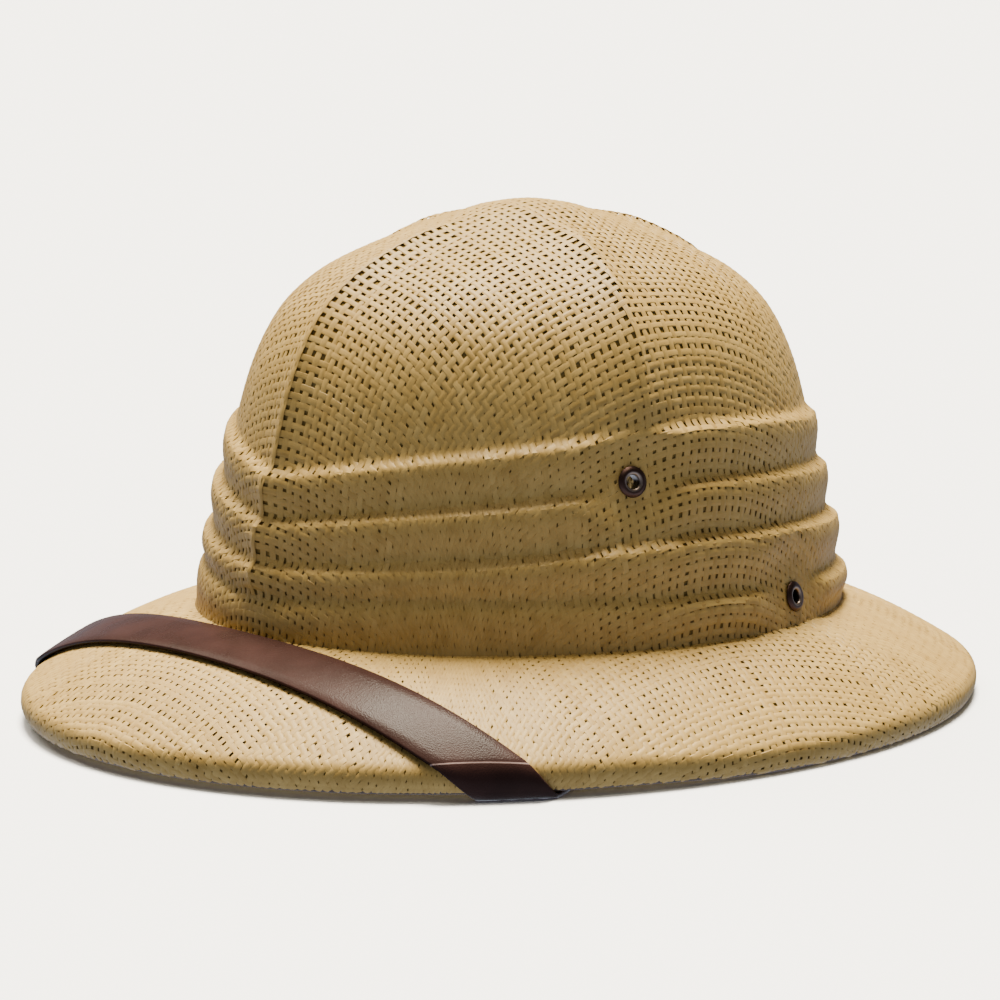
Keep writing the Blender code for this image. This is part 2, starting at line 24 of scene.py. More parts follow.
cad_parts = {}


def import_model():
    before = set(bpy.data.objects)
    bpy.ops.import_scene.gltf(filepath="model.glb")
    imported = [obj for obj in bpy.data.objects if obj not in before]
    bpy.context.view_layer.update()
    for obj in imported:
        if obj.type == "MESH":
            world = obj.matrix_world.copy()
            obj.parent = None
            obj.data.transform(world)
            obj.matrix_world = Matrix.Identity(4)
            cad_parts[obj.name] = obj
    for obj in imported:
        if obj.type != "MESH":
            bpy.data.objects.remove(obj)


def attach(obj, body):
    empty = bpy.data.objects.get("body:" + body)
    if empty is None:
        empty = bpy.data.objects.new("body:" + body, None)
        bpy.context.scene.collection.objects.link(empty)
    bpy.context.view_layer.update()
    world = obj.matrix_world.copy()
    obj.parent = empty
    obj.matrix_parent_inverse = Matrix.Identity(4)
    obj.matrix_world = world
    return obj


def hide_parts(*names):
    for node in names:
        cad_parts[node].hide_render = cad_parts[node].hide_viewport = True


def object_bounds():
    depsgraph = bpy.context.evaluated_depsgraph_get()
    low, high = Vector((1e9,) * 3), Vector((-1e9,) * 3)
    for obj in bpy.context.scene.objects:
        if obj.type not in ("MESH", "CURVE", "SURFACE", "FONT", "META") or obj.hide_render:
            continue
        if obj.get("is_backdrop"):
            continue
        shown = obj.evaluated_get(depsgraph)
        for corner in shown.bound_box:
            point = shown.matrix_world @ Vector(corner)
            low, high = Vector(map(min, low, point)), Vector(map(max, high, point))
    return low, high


log = logging.getLogger("straw_pith_helmet")

Array = np.ndarray

IMAGE_SIZE = 1000
SENSOR = 36.0


def linear(colour: str) -> tuple[float, ...]:
    """Turn an sRGB hex colour, six digits after a hash sign, into linear RGBA."""
    channels = [int(colour[i:i + 2], 16) / 255 for i in (1, 3, 5)]
    return *(c / 12.92 if c <= 0.04045 else ((c + 0.055) / 1.055) ** 2.4 for c in channels), 1.0


def ease(x: Array) -> Array:
    """Smooth step from 0 to 1 as x goes from 0 to 1."""
    x = np.clip(x, 0.0, 1.0)
    return x * x * (3 - 2 * x)


def unit(vectors: Array) -> Array:
    """Vectors scaled to length 1."""
    return vectors / np.maximum(np.linalg.norm(vectors, axis=-1, keepdims=True), 1e-12)


def cross(a: Array, b: Array) -> Array:
    """Signed area that the first two numbers of a and b span."""
    return a[..., 0] * b[..., 1] - a[..., 1] * b[..., 0]


def run_along(points: Array) -> Array:
    """Distance along a line of points to each of them."""
    return np.concatenate([[0], np.cumsum(np.linalg.norm(np.diff(points, axis=0), axis=1))])


def angles_round(count: int) -> Array:
    """Evenly spaced angles once round the hat, from its back."""
    return -pi + np.arange(count) / count * 2 * pi


def hermite(q: Array, span: Array, low: Array, high: Array, low_slope: Array, high_slope: Array) -> Array:
    """Value at share q of a span between two values with their slopes."""
    return ((2 * q**3 - 3 * q**2 + 1) * low + (q**3 - 2 * q**2 + q) * span * low_slope
            + (3 * q**2 - 2 * q**3) * high + (q**3 - q**2) * span * high_slope)


def smooth_curve(xs: tuple, ys: tuple, x: Array, last_slope: float | None = None) -> Array:
    """Read a curve that runs through a table without overshooting it.

    Args:
        xs: Rising places of the table's rows.
        ys: Values of the rows.
        x: Places to read.
        last_slope: Slope at the last row, or none for the last step's own.

    Returns:
        The curve's value at each place.
    """
    xs, ys, x = np.asarray(xs, float), np.asarray(ys, float), np.asarray(x, float)
    steps = np.diff(ys) / np.diff(xs)
    slopes = np.concatenate([steps[:1], np.zeros(len(steps) - 1), steps[-1:]])
    alike = steps[:-1] * steps[1:] > 0
    slopes[1:-1] = np.where(alike, 2 * steps[:-1] * steps[1:] / np.where(alike, steps[:-1] + steps[1:], 1), 0)
    if last_slope is not None:
        slopes[-1] = last_slope
    i = np.clip(np.searchsorted(xs, x) - 1, 0, len(xs) - 2)
    span = xs[i + 1] - xs[i]
    return hermite((x - xs[i]) / span, span, ys[i], ys[i + 1], slopes[i], slopes[i + 1])


def find_nearest(known: Array, asked: Array) -> Array:
    """Find the known flat place that lies nearest to each asked one.

    Args:
        known: Flat places to choose from.
        asked: Flat places.

    Returns:
        Number of the known place for each asked one.
    """
    tree = KDTree(len(known))
    for number, place in enumerate(known):
        tree.insert((*place, 0), number)
    tree.balance()
    return np.array([tree.find((*place, 0))[1] for place in asked])


def add_node(tree: NodeTree, kind: str, inputs: dict | None = None, **settings) -> Node:
    """Add a shader node with its settings, values and links.

    Args:
        tree: Node tree of the material.
        kind: Blender's name of the node, without its ShaderNode prefix.
        inputs: Input name or number to a value or to the socket that feeds it.
        settings: Properties of the node.

    Returns:
        The new node.
    """
    node = tree.nodes.new("ShaderNode" + kind)
    for name, value in settings.items():
        setattr(node, name, value)
    for name, value in (inputs or {}).items():
        if isinstance(value, NodeSocket):
            tree.links.new(value, node.inputs[name])
        else:
            node.inputs[name].default_value = value
    return node


def add_math(tree: NodeTree, kind: str, *values: object) -> NodeSocket:
    """Result of a Math node on up to three values or sockets."""
    return add_node(tree, "Math", dict(enumerate(values)), operation=kind).outputs[0]


def add_range(tree: NodeTree, value: NodeSocket, start: float, end: float, low: float,
              high: float) -> NodeSocket:
    """Value that goes from low to high while another one goes from start to end."""
    limits = {"From Min": start, "From Max": end, "To Min": low, "To Max": high}
    return add_node(tree, "MapRange", {"Value": value, **limits}).outputs[0]


def add_mix(tree: NodeTree, factor: NodeSocket, under: NodeSocket, over: str) -> NodeSocket:
    """Colour that turns into a plain hex colour as the factor goes from 0 to 1."""
    return add_node(tree, "Mix", {0: factor, 6: under, 7: linear(over)}, data_type="RGBA").outputs[2]


def add_noise(tree: NodeTree, scale: float, detail: float, place: NodeSocket | None = None) -> NodeSocket:
    """Noise at a scale per metre, over the piece's own place or another one."""
    place = place or add_node(tree, "TexCoord").outputs["Object"]
    return add_node(tree, "TexNoise", {"Vector": place, "Scale": scale, "Detail": detail}).outputs["Fac"]


def add_uv(tree: NodeTree) -> tuple[NodeSocket, NodeSocket]:
    """Split a piece's UV.

    Args:
        tree: Node tree of the material.

    Returns:
        Sockets of U and V.
    """
    uv = add_node(tree, "UVMap", uv_map="UVMap").outputs["UV"]
    split = add_node(tree, "SeparateXYZ", {"Vector": uv})
    return split.outputs[0], split.outputs[1]


def add_ramp(tree: NodeTree, factor: NodeSocket, *stops: tuple[float, str]) -> NodeSocket:
    """Colour that runs through a ramp.

    Args:
        tree: Node tree of the material.
        factor: Socket that moves along the ramp.
        stops: Rising places, each with its hex colour.

    Returns:
        Socket of the colour.
    """
    ramp = add_node(tree, "ValToRGB", {"Fac": factor})
    elements = ramp.color_ramp.elements
    while len(elements) < len(stops):
        elements.new(0.5)
    for element, (place, colour) in zip(elements, stops):
        element.position = place
        element.color = linear(colour)
    return ramp.outputs["Color"]


def new_material(name: str, **constants: float) -> tuple[Material, NodeTree, Node]:
    """Make an empty node material.

    Args:
        name: Name of the material.
        constants: Values of the shader's own sockets, with _ for each space.

    Returns:
        The material, its node tree and its Principled shader.
    """
    material = bpy.data.materials.new(name)
    material.use_nodes = True
    shader = material.node_tree.nodes["Principled BSDF"]
    for socket, value in constants.items():
        shader.inputs[socket.replace("_", " ")].default_value = value
    return material, material.node_tree, shader


def wire(tree: NodeTree, shader: Node, colour: NodeSocket, height: NodeSocket, strength: float,
         distance: float) -> None:
    """Feed a shader with its colour and its relief.

    Args:
        tree: Node tree of the material.
        shader: Its shader.
        colour: Socket of the colour.
        height: Socket of the relief's height.
        strength: How much of the relief is seen.
        distance: Height of the relief in metres.
    """
    tree.links.new(colour, shader.inputs["Base Color"])
    bump = add_node(tree, "Bump", {"Strength": strength, "Distance": distance, "Height": height})
    tree.links.new(bump.outputs[0], shader.inputs["Normal"])


def place_object(name: str, data: bpy.types.ID) -> Object:
    """Put new data in the scene as an object.

    Args:
        name: Name of the object.
        data: Its mesh, curve, light or camera.

    Returns:
        The object.
    """
    holder = bpy.data.objects.new(name, data)
    bpy.context.scene.collection.objects.link(holder)
    return holder


def add_object(name: str, mesh: Mesh, *materials: Material) -> Object:
    """Put a mesh in the scene with its materials and smooth faces.

    Args:
        name: Name of the object and its mesh.
        mesh: The mesh.
        materials: Materials in the order of their slots.

    Returns:
        The object.
    """
    mesh.name = name
    for material in materials:
        mesh.materials.append(material)
    mesh.shade_smooth()
    return place_object(name, mesh)


def final_mesh(piece: Object) -> Mesh:
    """Make a mesh of an object as its modifiers or its bevel leave it.

    Args:
        piece: Object of a mesh or a curve.

    Returns:
        The new mesh.
    """
    depsgraph = bpy.context.evaluated_depsgraph_get()
    depsgraph.update()
    return bpy.data.meshes.new_from_object(piece.evaluated_get(depsgraph), depsgraph=depsgraph)


def apply_modifiers(piece: Object) -> None:
    """Turn a piece's modifiers into its own mesh.

    Args:
        piece: The piece.
    """
    mesh, old = final_mesh(piece), piece.data
    mesh.name = piece.name
    piece.modifiers.clear()
    piece.data = mesh
    bpy.data.meshes.remove(old)


def add_wall(piece: Object, thickness: float, offset: float) -> bpy.types.Modifier:
    """Give a sheet a wall.

    Args:
        piece: Object of the sheet.
        thickness: Thickness of the wall.
        offset: -1 inwards from the sheet, 0 on both sides of it.

    Returns:
        The wall's modifier.
    """
    wall = piece.modifiers.new("Wall", "SOLIDIFY")
    wall.thickness = thickness
    wall.offset = offset
    wall.use_even_offset = True
    return wall


@contextmanager
def edited(mesh: Mesh) -> Iterator[bmesh.types.BMesh]:
    """Open a mesh for bmesh operators and write it back after them.

    Args:
        mesh: The mesh.

    Returns:
        A context that gives the open mesh.
    """
    bm = bmesh.new()
    bm.from_mesh(mesh)
    yield bm
    bm.to_mesh(mesh)
    bm.free()


def grid_mesh(name: str, points: Array, uv: Array | None = None) -> Mesh:
    """Bend a flat grid into a sheet through an array of points, with the last column joined to the first.

    Args:
        name: Name of the mesh.
        points: Points as columns, rows, xyz.
        uv: UV of each point in the same order, or none to keep the grid's own.

    Returns:
        The sheet with its seams welded.
    """
    columns, rows = points.shape[:2]
    mesh = bpy.data.meshes.new(name)
    with edited(mesh) as bm:
        layer = bm.loops.layers.uv.new("UVMap")
        bmesh.ops.create_grid(bm, x_segments=columns, y_segments=rows - 1, size=1, calc_uvs=True)
        places = {}
        for v in bm.verts:
            i = round((v.co.x + 1) / 2 * columns) % columns
            j = round((v.co.y + 1) / 2 * (rows - 1))
            places[v.index] = (i, j)
            v.co = points[i, j]
        if uv is not None:
            for face in bm.faces:
                for loop in face.loops:
                    loop[layer].uv = uv[places[loop.vert.index]]
        bmesh.ops.remove_doubles(bm, verts=bm.verts, dist=1e-6)
    return mesh


class Zone(Enum):
    """Directions of the two thread systems of the cloth."""
    WARP = "warp"
    WEFT = "weft"


@dataclass(frozen=True)
class HatForm:
    """Outer surface of the blocked hood: crown, folds, ridges, brim and lip.

    A place on it is a pair of numbers, as on the cloth laid out flat round the top of the crown: its
    length is the distance down from the top and its direction is the direction round the hat.
    """
    brim_length: float = 0.345
    brim_width: float = 0.295
    crown_length: float = 0.234
    crown_width: float = 0.200
    crown_height: float = 0.1366
    crown_back: float = 0.0075
    crown_lean: float = radians(1.0)
    ring_height: float = 0.0345
    wall: float = 0.002
    ledge: float = 0.0045
    fold_gains: tuple = (2.4, 2.6, 2.1, 1.9)
    lip_radius: float = 0.0065
    lip_top: float = radians(55)
    lip_end: float = radians(-48)
    bow_front: float = 0.70
    bow_back: float = 0.30
    edge_over_rest: float = 0.0005
    strap_stack: float = 0.0018
    lift_angle: float = radians(66)
    lift_fade: float = radians(26)
    seat_radius: float = 0.016
    brim_run: float = 0.0545
    outline: tuple = (
        (0.000, 1.000), (0.180, 0.952), (0.380, 0.901), (0.585, 0.838), (0.727, 0.754), (0.816, 0.641),
        (0.876, 0.502), (0.927, 0.340), (0.956, 0.242), (0.985, 0.140), (1.000, 0.000))
    fold_angles: tuple = tuple(radians(a) for a in (0, 45, 90, 135, 180))
    folds: tuple = (
        ((0.080, 0.117, 0.103, 0.088, 0.066), (0.25, 0.40, 0.60, 0.70, 0.70)),
        ((0.161, 0.209, 0.245, 0.220, 0.183), (0.40, 0.60, 0.75, 0.75, 0.70)),
        ((0.267, 0.337, 0.377, 0.348, 0.307), (0.60, 0.80, 0.80, 0.75, 0.70)),
        ((0.381, 0.465, 0.512, 0.476, 0.439), (0.75, 0.75, 0.90, 0.75, 0.75)))
    ridges: tuple = (
        (radians(0), 1.2, 0.05), (radians(79), 1.1, 0.46),
        (radians(-79), 1.1, 0.46), (radians(180), 1.2, 0.30))
    ridge_half: float = 0.009
    crest_half: float = 0.0023
    crest_share: float = 0.55
    ridge_fade: float = 0.12
    boss_edge: tuple = (0.16, 0.42)
    eyelets: tuple = ((radians(75), 0.393), (radians(111), 0.067))

    @property
    def outline_places(self) -> Array:
        """Distance along the crown's outline of each row of its table, from the ring up."""
        return run_along(np.array(self.outline) * (self.crown_height, self.crown_width / 2))

    @property
    def crown_run(self) -> float:
        """Distance from the top of the crown down to its ring."""
        return float(self.outline_places[-1])

    @property
    def rim_run(self) -> float:
        """Distance from the top of the crown down to the lip's edge."""
        return self.crown_run + self.brim_run + self.lip_radius * (self.lip_top - self.lip_end)

    @property
    def mean_half(self) -> float:
        """Mean half width of the crown."""
        return (self.crown_length + self.crown_width) / 4

    def plan_normal(self, t: Array, width: float, length: float) -> Array:
        """Outward direction in plan at angle t of an oval of that width and length."""
        return unit(np.stack([np.sin(t) / width, -np.cos(t) / length, np.zeros_like(t)], -1))

    def rim_normal(self, t: Array) -> Array:
        """Outward direction in plan of the brim's rim at angle t."""
        return self.plan_normal(t, self.brim_width, self.brim_length)

    def seat_share(self, t: Array, height: Array) -> Array:
        """Find where the eyelets press the straw flat.

        Args:
            t: Angles round the hat from its front.
            height: Heights over the ring.

        Returns:
            1 at an eyelet's seat and 0 away from the eyelets.
        """
        share = np.zeros_like(t)
        for angle, part in self.eyelets:
            away = np.hypot((np.abs(t) - angle) * self.mean_half, height - part * self.crown_height)
            share = np.maximum(share, 1 - ease(away / self.seat_radius - 0.5))
        return share

    def fold_offset(self, t: Array, height: Array) -> Array:
        """Push the wall out by the folds, each proud below its ledge and tapering down.

        Args:
            t: Angles round the hat from its front.
            height: Heights over the ring.

        Returns:
            Distances outwards.
        """
        total, floor = np.zeros_like(t), np.zeros_like(t)
        for (heights, steps), gain in zip(self.folds, self.fold_gains):
            top = smooth_curve(self.fold_angles, heights, np.abs(t)) * self.crown_height
            step = smooth_curve(self.fold_angles, steps, np.abs(t)) * self.wall
            below = top - height
            rise = ease(below / self.ledge + 0.5)
            taper = 1 - ease((below - self.ledge) / np.maximum(top - floor - self.ledge, self.ledge))
            total = total + gain * step * rise * taper
            floor = top
        return total * (1 - self.seat_share(t, height))

    def ridge_offset(self, t: Array, height: Array, share: Array) -> Array:
        """Push the upper crown out by the four ridges.

        Args:
            t: Angles round the hat from its front.
            height: Heights over the ring.
            share: Shares of the half width there.

        Returns:
            Distances outwards.
        """
        total = np.zeros_like(t)
        near_top = ease((share - self.boss_edge[0]) / (self.boss_edge[1] - self.boss_edge[0]))
        for angle, rise, start in self.ridges:
            away = np.abs((t - angle + pi) % (2 * pi) - pi) * self.mean_half * share
            begins = ease((height / self.crown_height - start) / self.ridge_fade)
            crest = self.crest_share * np.exp(-(away / self.crest_half)**2)
            shape = np.exp(-(away / self.ridge_half)**2) + crest
            total = total + rise * self.wall * shape * begins * near_top
        return total

    def crown(self, t: Array, place: Array, relief: bool) -> Array:
        """Points of the crown.

        Args:
            t: Angles round the hat from its front.
            place: Distances up the crown's outline from the ring.
            relief: True with the folds and ridges, false for the bare form.

        Returns:
            Points in the hat's frame.
        """
        places = self.outline_places
        heights, widths = zip(*self.outline)

        def read(p: Array) -> tuple[Array, Array]:
            """Height and share of the half width at a place."""
            high = smooth_curve(places, np.array(heights) * self.crown_height, p, 0.0)
            return high, smooth_curve(places, widths, p)

        height, share = read(place)
        point = np.stack([self.crown_width / 2 * share * np.sin(t),
                          -self.crown_length / 2 * share * np.cos(t), height], -1)
        if relief:
            step = places[-1] / 400
            high, wide = read(np.minimum(place + step, places[-1]))
            low, narrow = read(np.maximum(place - step, 0))
            side = unit(np.stack([high - low, (narrow - wide) * self.mean_half], -1))
            n = self.plan_normal(t, self.crown_width, self.crown_length) * side[..., :1]
            n[..., 2] = side[..., 1]
            point = point + n * (self.fold_offset(t, height) + self.ridge_offset(t, height, share))[..., None]
        turn = np.array(Matrix.Rotation(-self.crown_lean, 3, "X"))
        return point @ turn.T + (0, self.crown_back, self.ring_height)

    def rim_rise(self, t: Array) -> Array:
        """Lift of the rim, which rests on the strap's two turns at the front."""
        return self.strap_stack * (1 - ease((np.abs(t) - self.lift_angle) / self.lift_fade))

    def rim_oval(self, t: Array) -> Array:
        """Widest line of the brim, at the height of the lip's centre."""
        height = self.edge_over_rest - self.lip_radius * sin(self.lip_end) + self.rim_rise(t)
        return np.stack([self.brim_width / 2 * np.sin(t), -self.brim_length / 2 * np.cos(t), height], -1)

    def lip(self, t: Array, angle: Array | float) -> Array:
        """Points of the lip's round.

        Args:
            t: Angles round the hat from its front.
            angle: Elevation on the round, one for all or one for each t.

        Returns:
            Points in the hat's frame.
        """
        angle = np.broadcast_to(angle, t.shape)
        out = self.lip_radius * np.cos(angle) - self.lip_radius
        point = self.rim_oval(t) + self.rim_normal(t) * out[..., None]
        point[..., 2] += self.lip_radius * np.sin(angle)
        return point

    def brim(self, t: Array, share: Array, relief: bool) -> Array:
        """Points of the brim's upper side.

        Args:
            t: Angles round the hat from its front.
            share: 0 at the ring and 1 where the lip starts.
            relief: True with the folds and ridges, false for the bare form.

        Returns:
            Points in the hat's frame.
        """
        inner = self.crown(t, np.zeros_like(t), relief)
        outer = self.lip(t, self.lip_top)
        bow = (self.bow_front + self.bow_back) / 2 + (self.bow_front - self.bow_back) / 2 * np.cos(t)
        point = inner + (outer - inner) * share[..., None]
        point[..., 2] = inner[..., 2] + (outer[..., 2] - inner[..., 2]) * (share - bow * share * (1 - share))
        return point

    def at(self, q: Array, relief: bool = True) -> Array:
        """Points of the outer surface.

        Args:
            q: Flat places.
            relief: True with the folds and ridges, false for the bare form.

        Returns:
            Points in the hat's frame.
        """
        t, s = np.arctan2(q[..., 0], -q[..., 1]), np.hypot(q[..., 0], q[..., 1])
        run = self.crown_run
        crown = self.crown(t, np.clip(run - s, 0, run), relief)
        brim = self.brim(t, np.clip((s - run) / self.brim_run, 0, 1), relief)
        lip = self.lip(t, self.lip_top - (s - run - self.brim_run) / self.lip_radius)
        on_crown, on_brim = (s <= run)[..., None], (s <= run + self.brim_run)[..., None]
        return np.where(on_crown, crown, np.where(on_brim, brim, lip))

    def slopes(self, q: Array, relief: bool, step: float) -> tuple[Array, Array]:
        """How points move with the two numbers of a flat place.

        Args:
            q: Flat places.
            relief: True with the folds and ridges, false for the bare form.
            step: How far off to look on each side.

        Returns:
            Slopes with the first number and with the second.
        """
        dx, dy = np.array([step, 0]), np.array([0, step])
        return ((self.at(q + dx, relief) - self.at(q - dx, relief)) / (2 * step),
                (self.at(q + dy, relief) - self.at(q - dy, relief)) / (2 * step))

    def normal(self, q: Array, step: float = 4e-4) -> Array:
        """Outward unit normals at flat places."""
        return unit(np.cross(*self.slopes(q, True, step)))


@dataclass
class StrawNet:
    """Square cloth draped over the form from the top of the crown.

    Each knot of the net lies one thread spacing from its two neighbours nearer the middle lines, which
    is how a cloth whose threads don't stretch follows a form: its squares shear into diamonds.
    """
    form: HatForm
    pitch: float = 0.0032
    count: int = 100
    margin: float = 0.006
    waver: float = 0.00022
    seed: int = 7
    places: Array = field(init=False)

    def __post_init__(self) -> None:
        """Drape the two right-hand quarters and mirror them."""
        n = self.count
        self.places = np.full((2 * n + 1, 2 * n + 1, 2), np.nan)
        self.places[n:, n:] = self.drape_quarter(-1)
        self.places[n:, n::-1] = self.drape_quarter(1)
        self.places[n::-1] = self.places[n:] * (-1, 1)
        self.places[n, :, 0] = 0.0

    def drape_quarter(self, back: int) -> Array:
        """Drape one quarter of the cloth.

        Args:
            back: -1 for the front quarter and 1 for the back quarter.

        Returns:
            Flat places of the knots, thread by thread from the middle lines.
        """
        n, limit = self.count, self.form.rim_run + self.margin
        q = np.full((n + 1, n + 1, 2), np.nan)
        p = np.full((n + 1, n + 1, 3), np.nan)
        q[0, 0], p[0, 0] = 0, self.form.at(np.zeros(2), False)
        for axis, way in ((0, np.array([1.0, 0.0])), (1, np.array([0.0, back]))):
            s = 0.0
            for k in range(1, n + 1):
                here, before = ((k, 0), (k - 1, 0)) if axis == 0 else ((0, k), (0, k - 1))
                step = self.pitch
                for _ in range(5):
                    step *= self.pitch / np.linalg.norm(self.form.at(way * (s + step), False) - p[before])
                s += step
                if s > limit:
                    break
                q[here], p[here] = way * s, self.form.at(way * s, False)
        for k in range(2, 2 * n + 1):
            i = np.arange(max(1, k - n), min(n, k - 1) + 1)
            j = k - i
            known = np.isfinite(q[i - 1, j, 0] + q[i, j - 1, 0] + q[i - 1, j - 1, 0])
            i, j = i[known], j[known]
            if not len(i):
                continue
            here = self.meet(q[i - 1, j] + q[i, j - 1] - q[i - 1, j - 1], p[i - 1, j], p[i, j - 1])
            keep = np.hypot(*here.T) < limit
            q[i[keep], j[keep]] = here[keep]
            p[i[keep], j[keep]] = self.form.at(here[keep], False)
        return q

    def meet(self, q: Array, a: Array, b: Array) -> Array:
        """Find the flat places one thread spacing from two neighbours each.

        Args:
            q: Guesses of the flat places.
            a: Points of the one neighbours.
            b: Points of the other neighbours.

        Returns:
            The flat places.
        """
        for _ in range(7):
            here = self.form.at(q, False)
            slopes = self.form.slopes(q, False, 1e-5)
            away = here - a, here - b
            rows = np.stack([np.stack([(gone * slope).sum(-1) for slope in slopes], -1) for gone in away], -2)
            miss = np.stack([(gone**2).sum(-1) for gone in away], -1) - self.pitch**2
            square = np.swapaxes(rows, -1, -2) @ rows + np.eye(2) * 1e-12
            move = -np.linalg.solve(square, np.swapaxes(rows, -1, -2) @ miss[..., None])[..., 0] / 2
            length = np.linalg.norm(move, axis=-1, keepdims=True)
            q = q + move * np.minimum(1, 0.4 * self.pitch / np.maximum(length, 1e-12))
        return q

    def wavered(self) -> Array:
        """Give the knots the small unevenness of real threads.

        Returns:
            Flat places of the knots.
        """
        rng = np.random.default_rng(self.seed)
        size = 2 * self.count + 1
        q = self.places.copy()
        for axis in (0, 1):
            steady = rng.normal(0, self.waver, size)
            swing = rng.normal(0, self.waver, size)
            phase, turns = rng.uniform(0, 2 * pi, size), rng.uniform(2, 5, size)
            along = np.arange(size) / size * 2 * pi
            shift = steady[:, None] + swing[:, None] * np.sin(phase[:, None] + turns[:, None] * along)
            shift = shift if axis == 0 else shift.T
            ahead = np.roll(self.places, -1, axis) - self.places
            q += np.nan_to_num(unit(ahead)) * shift[..., None]
        return q

    def cloth_coordinates(self, q: Array) -> Array:
        """Thread numbers at flat places, for patterns that follow the cloth.

        Args:
            q: Flat places.

        Returns:
            Warp and weft numbers, whole on the threads.
        """
        knots = np.argwhere(np.isfinite(self.places).all(-1))
        flat = q.reshape(-1, 2)
        found = knots[find_nearest(self.places[tuple(knots.T)], flat)]
        i, j = found.T
        a, b = (np.nan_to_num(np.gradient(self.places, axis=axis), nan=0.0)[i, j] for axis in (0, 1))
        miss = flat - self.places[i, j]
        area = cross(a, b)
        area = np.where(np.abs(area) < 1e-8, 1e9, area)
        extra = np.stack([cross(miss, b) / area, cross(a, miss) / area], -1)
        return (found - self.count + np.clip(extra, -1, 1)).reshape(q.shape)


@dataclass(frozen=True)
class PaperStraw:
    """Twisted paper straw: a matt yarn with fine lengthwise fibres and tones that differ by yarn."""
    dark: str = "#92763d"
    middle: str = "#a2864b"
    light: str = "#b0955a"
    # painted shade: colour given to the hollows of the inner side's weave
    hollow_shade: str = "#4a3a20"
    # painted shade: colours of the sheet face that shows between the yarns, standing in for the shade there
    shade: tuple = ("#6b572b", "#85703e")
    fibre_length: float = 0.004
    fibre_count: float = 9.0
    fibre_share: float = 0.35
    fibre_relief: float = 0.00012
    mottle: float = 0.006
    mottle_share: float = 0.55
    weave_swing: float = 0.6
    # how much painted shade and light follows the weave's height
    weave_shade_share: float = 0.25
    weave_relief: float = 0.0006

    def yarn_material(self) -> Material:
        """Finish of the outer yarns.

        Returns:
            The material; UV runs along the yarn in metres and once round it.
        """
        material, tree, shader = new_material("twisted_paper_straw", Roughness=0.5, Specular_IOR_Level=0.15)
        uv = add_node(tree, "UVMap", uv_map="yarn").outputs["UV"]
        scale = (1 / self.fibre_length, self.fibre_count, 1)
        stretched = add_node(tree, "Mapping", {"Vector": uv, "Scale": scale}).outputs[0]
        fibres = add_noise(tree, 1.0, 3.0, stretched)
        tone = add_node(tree, "Attribute", attribute_name="tone").outputs["Fac"]
        mottle = add_noise(tree, 1 / self.mottle, 3.0)
        mixed = add_math(tree, "MULTIPLY_ADD", mottle, self.mottle_share, tone)
        mixed = add_math(tree, "MULTIPLY_ADD", fibres, self.fibre_share, mixed)
        colour = add_ramp(tree, mixed, (0.25, self.dark), (0.55, self.middle), (0.9, self.light))
        wire(tree, shader, colour, fibres, strength=0.5, distance=self.fibre_relief)
        return material

    def lining_material(self) -> Material:
        """Finish of the cloth's inner side, with its weave as relief, and painted shade in its hollows and
        painted light on its crests.

        Returns:
            The material; UV counts the threads.
        """
        material, tree, shader = new_material("woven_straw_inside", Roughness=0.7)
        u, v = add_uv(tree)

        def cosine(socket: NodeSocket, turns: float) -> NodeSocket:
            """Cosine of a thread number times pi times turns."""
            return add_math(tree, "COSINE", add_math(tree, "MULTIPLY", socket, pi * turns))

        over = add_math(tree, "MULTIPLY", cosine(u, 1), cosine(v, 1))
        warp = add_math(tree, "MULTIPLY_ADD", over, self.weave_swing, cosine(u, 2))
        weft = add_math(tree, "MULTIPLY_ADD", over, -self.weave_swing, cosine(v, 2))
        height = add_math(tree, "MAXIMUM", warp, weft)
        # painted shade and light: the colour darkens in the weave's hollows and lightens on its crests, over
        # a random mottle
        tone = add_math(tree, "MULTIPLY_ADD", height, self.weave_shade_share, add_noise(tree, 1 / self.mottle, 4.0))
        colour = add_ramp(tree, tone, (0.25, self.hollow_shade), (0.5, self.dark), (0.75, self.middle),
                          (1.0, self.light))
        wire(tree, shader, colour, height, strength=1.0, distance=self.weave_relief)
        return material

    def shaded_material(self) -> Material:
        """Painted shade: a dark brown that stands in for the shade seen between the yarns.

        Returns:
            The material.
        """
        material, tree, shader = new_material("shaded_paper_straw", Roughness=0.95, Specular_IOR_Level=0.0)
        mottle = add_noise(tree, 1 / self.mottle, 3.0)
        colour = add_ramp(tree, mottle, (0.3, self.shade[0]), (0.7, self.shade[1]))
        tree.links.new(colour, shader.inputs["Base Color"])
        return material


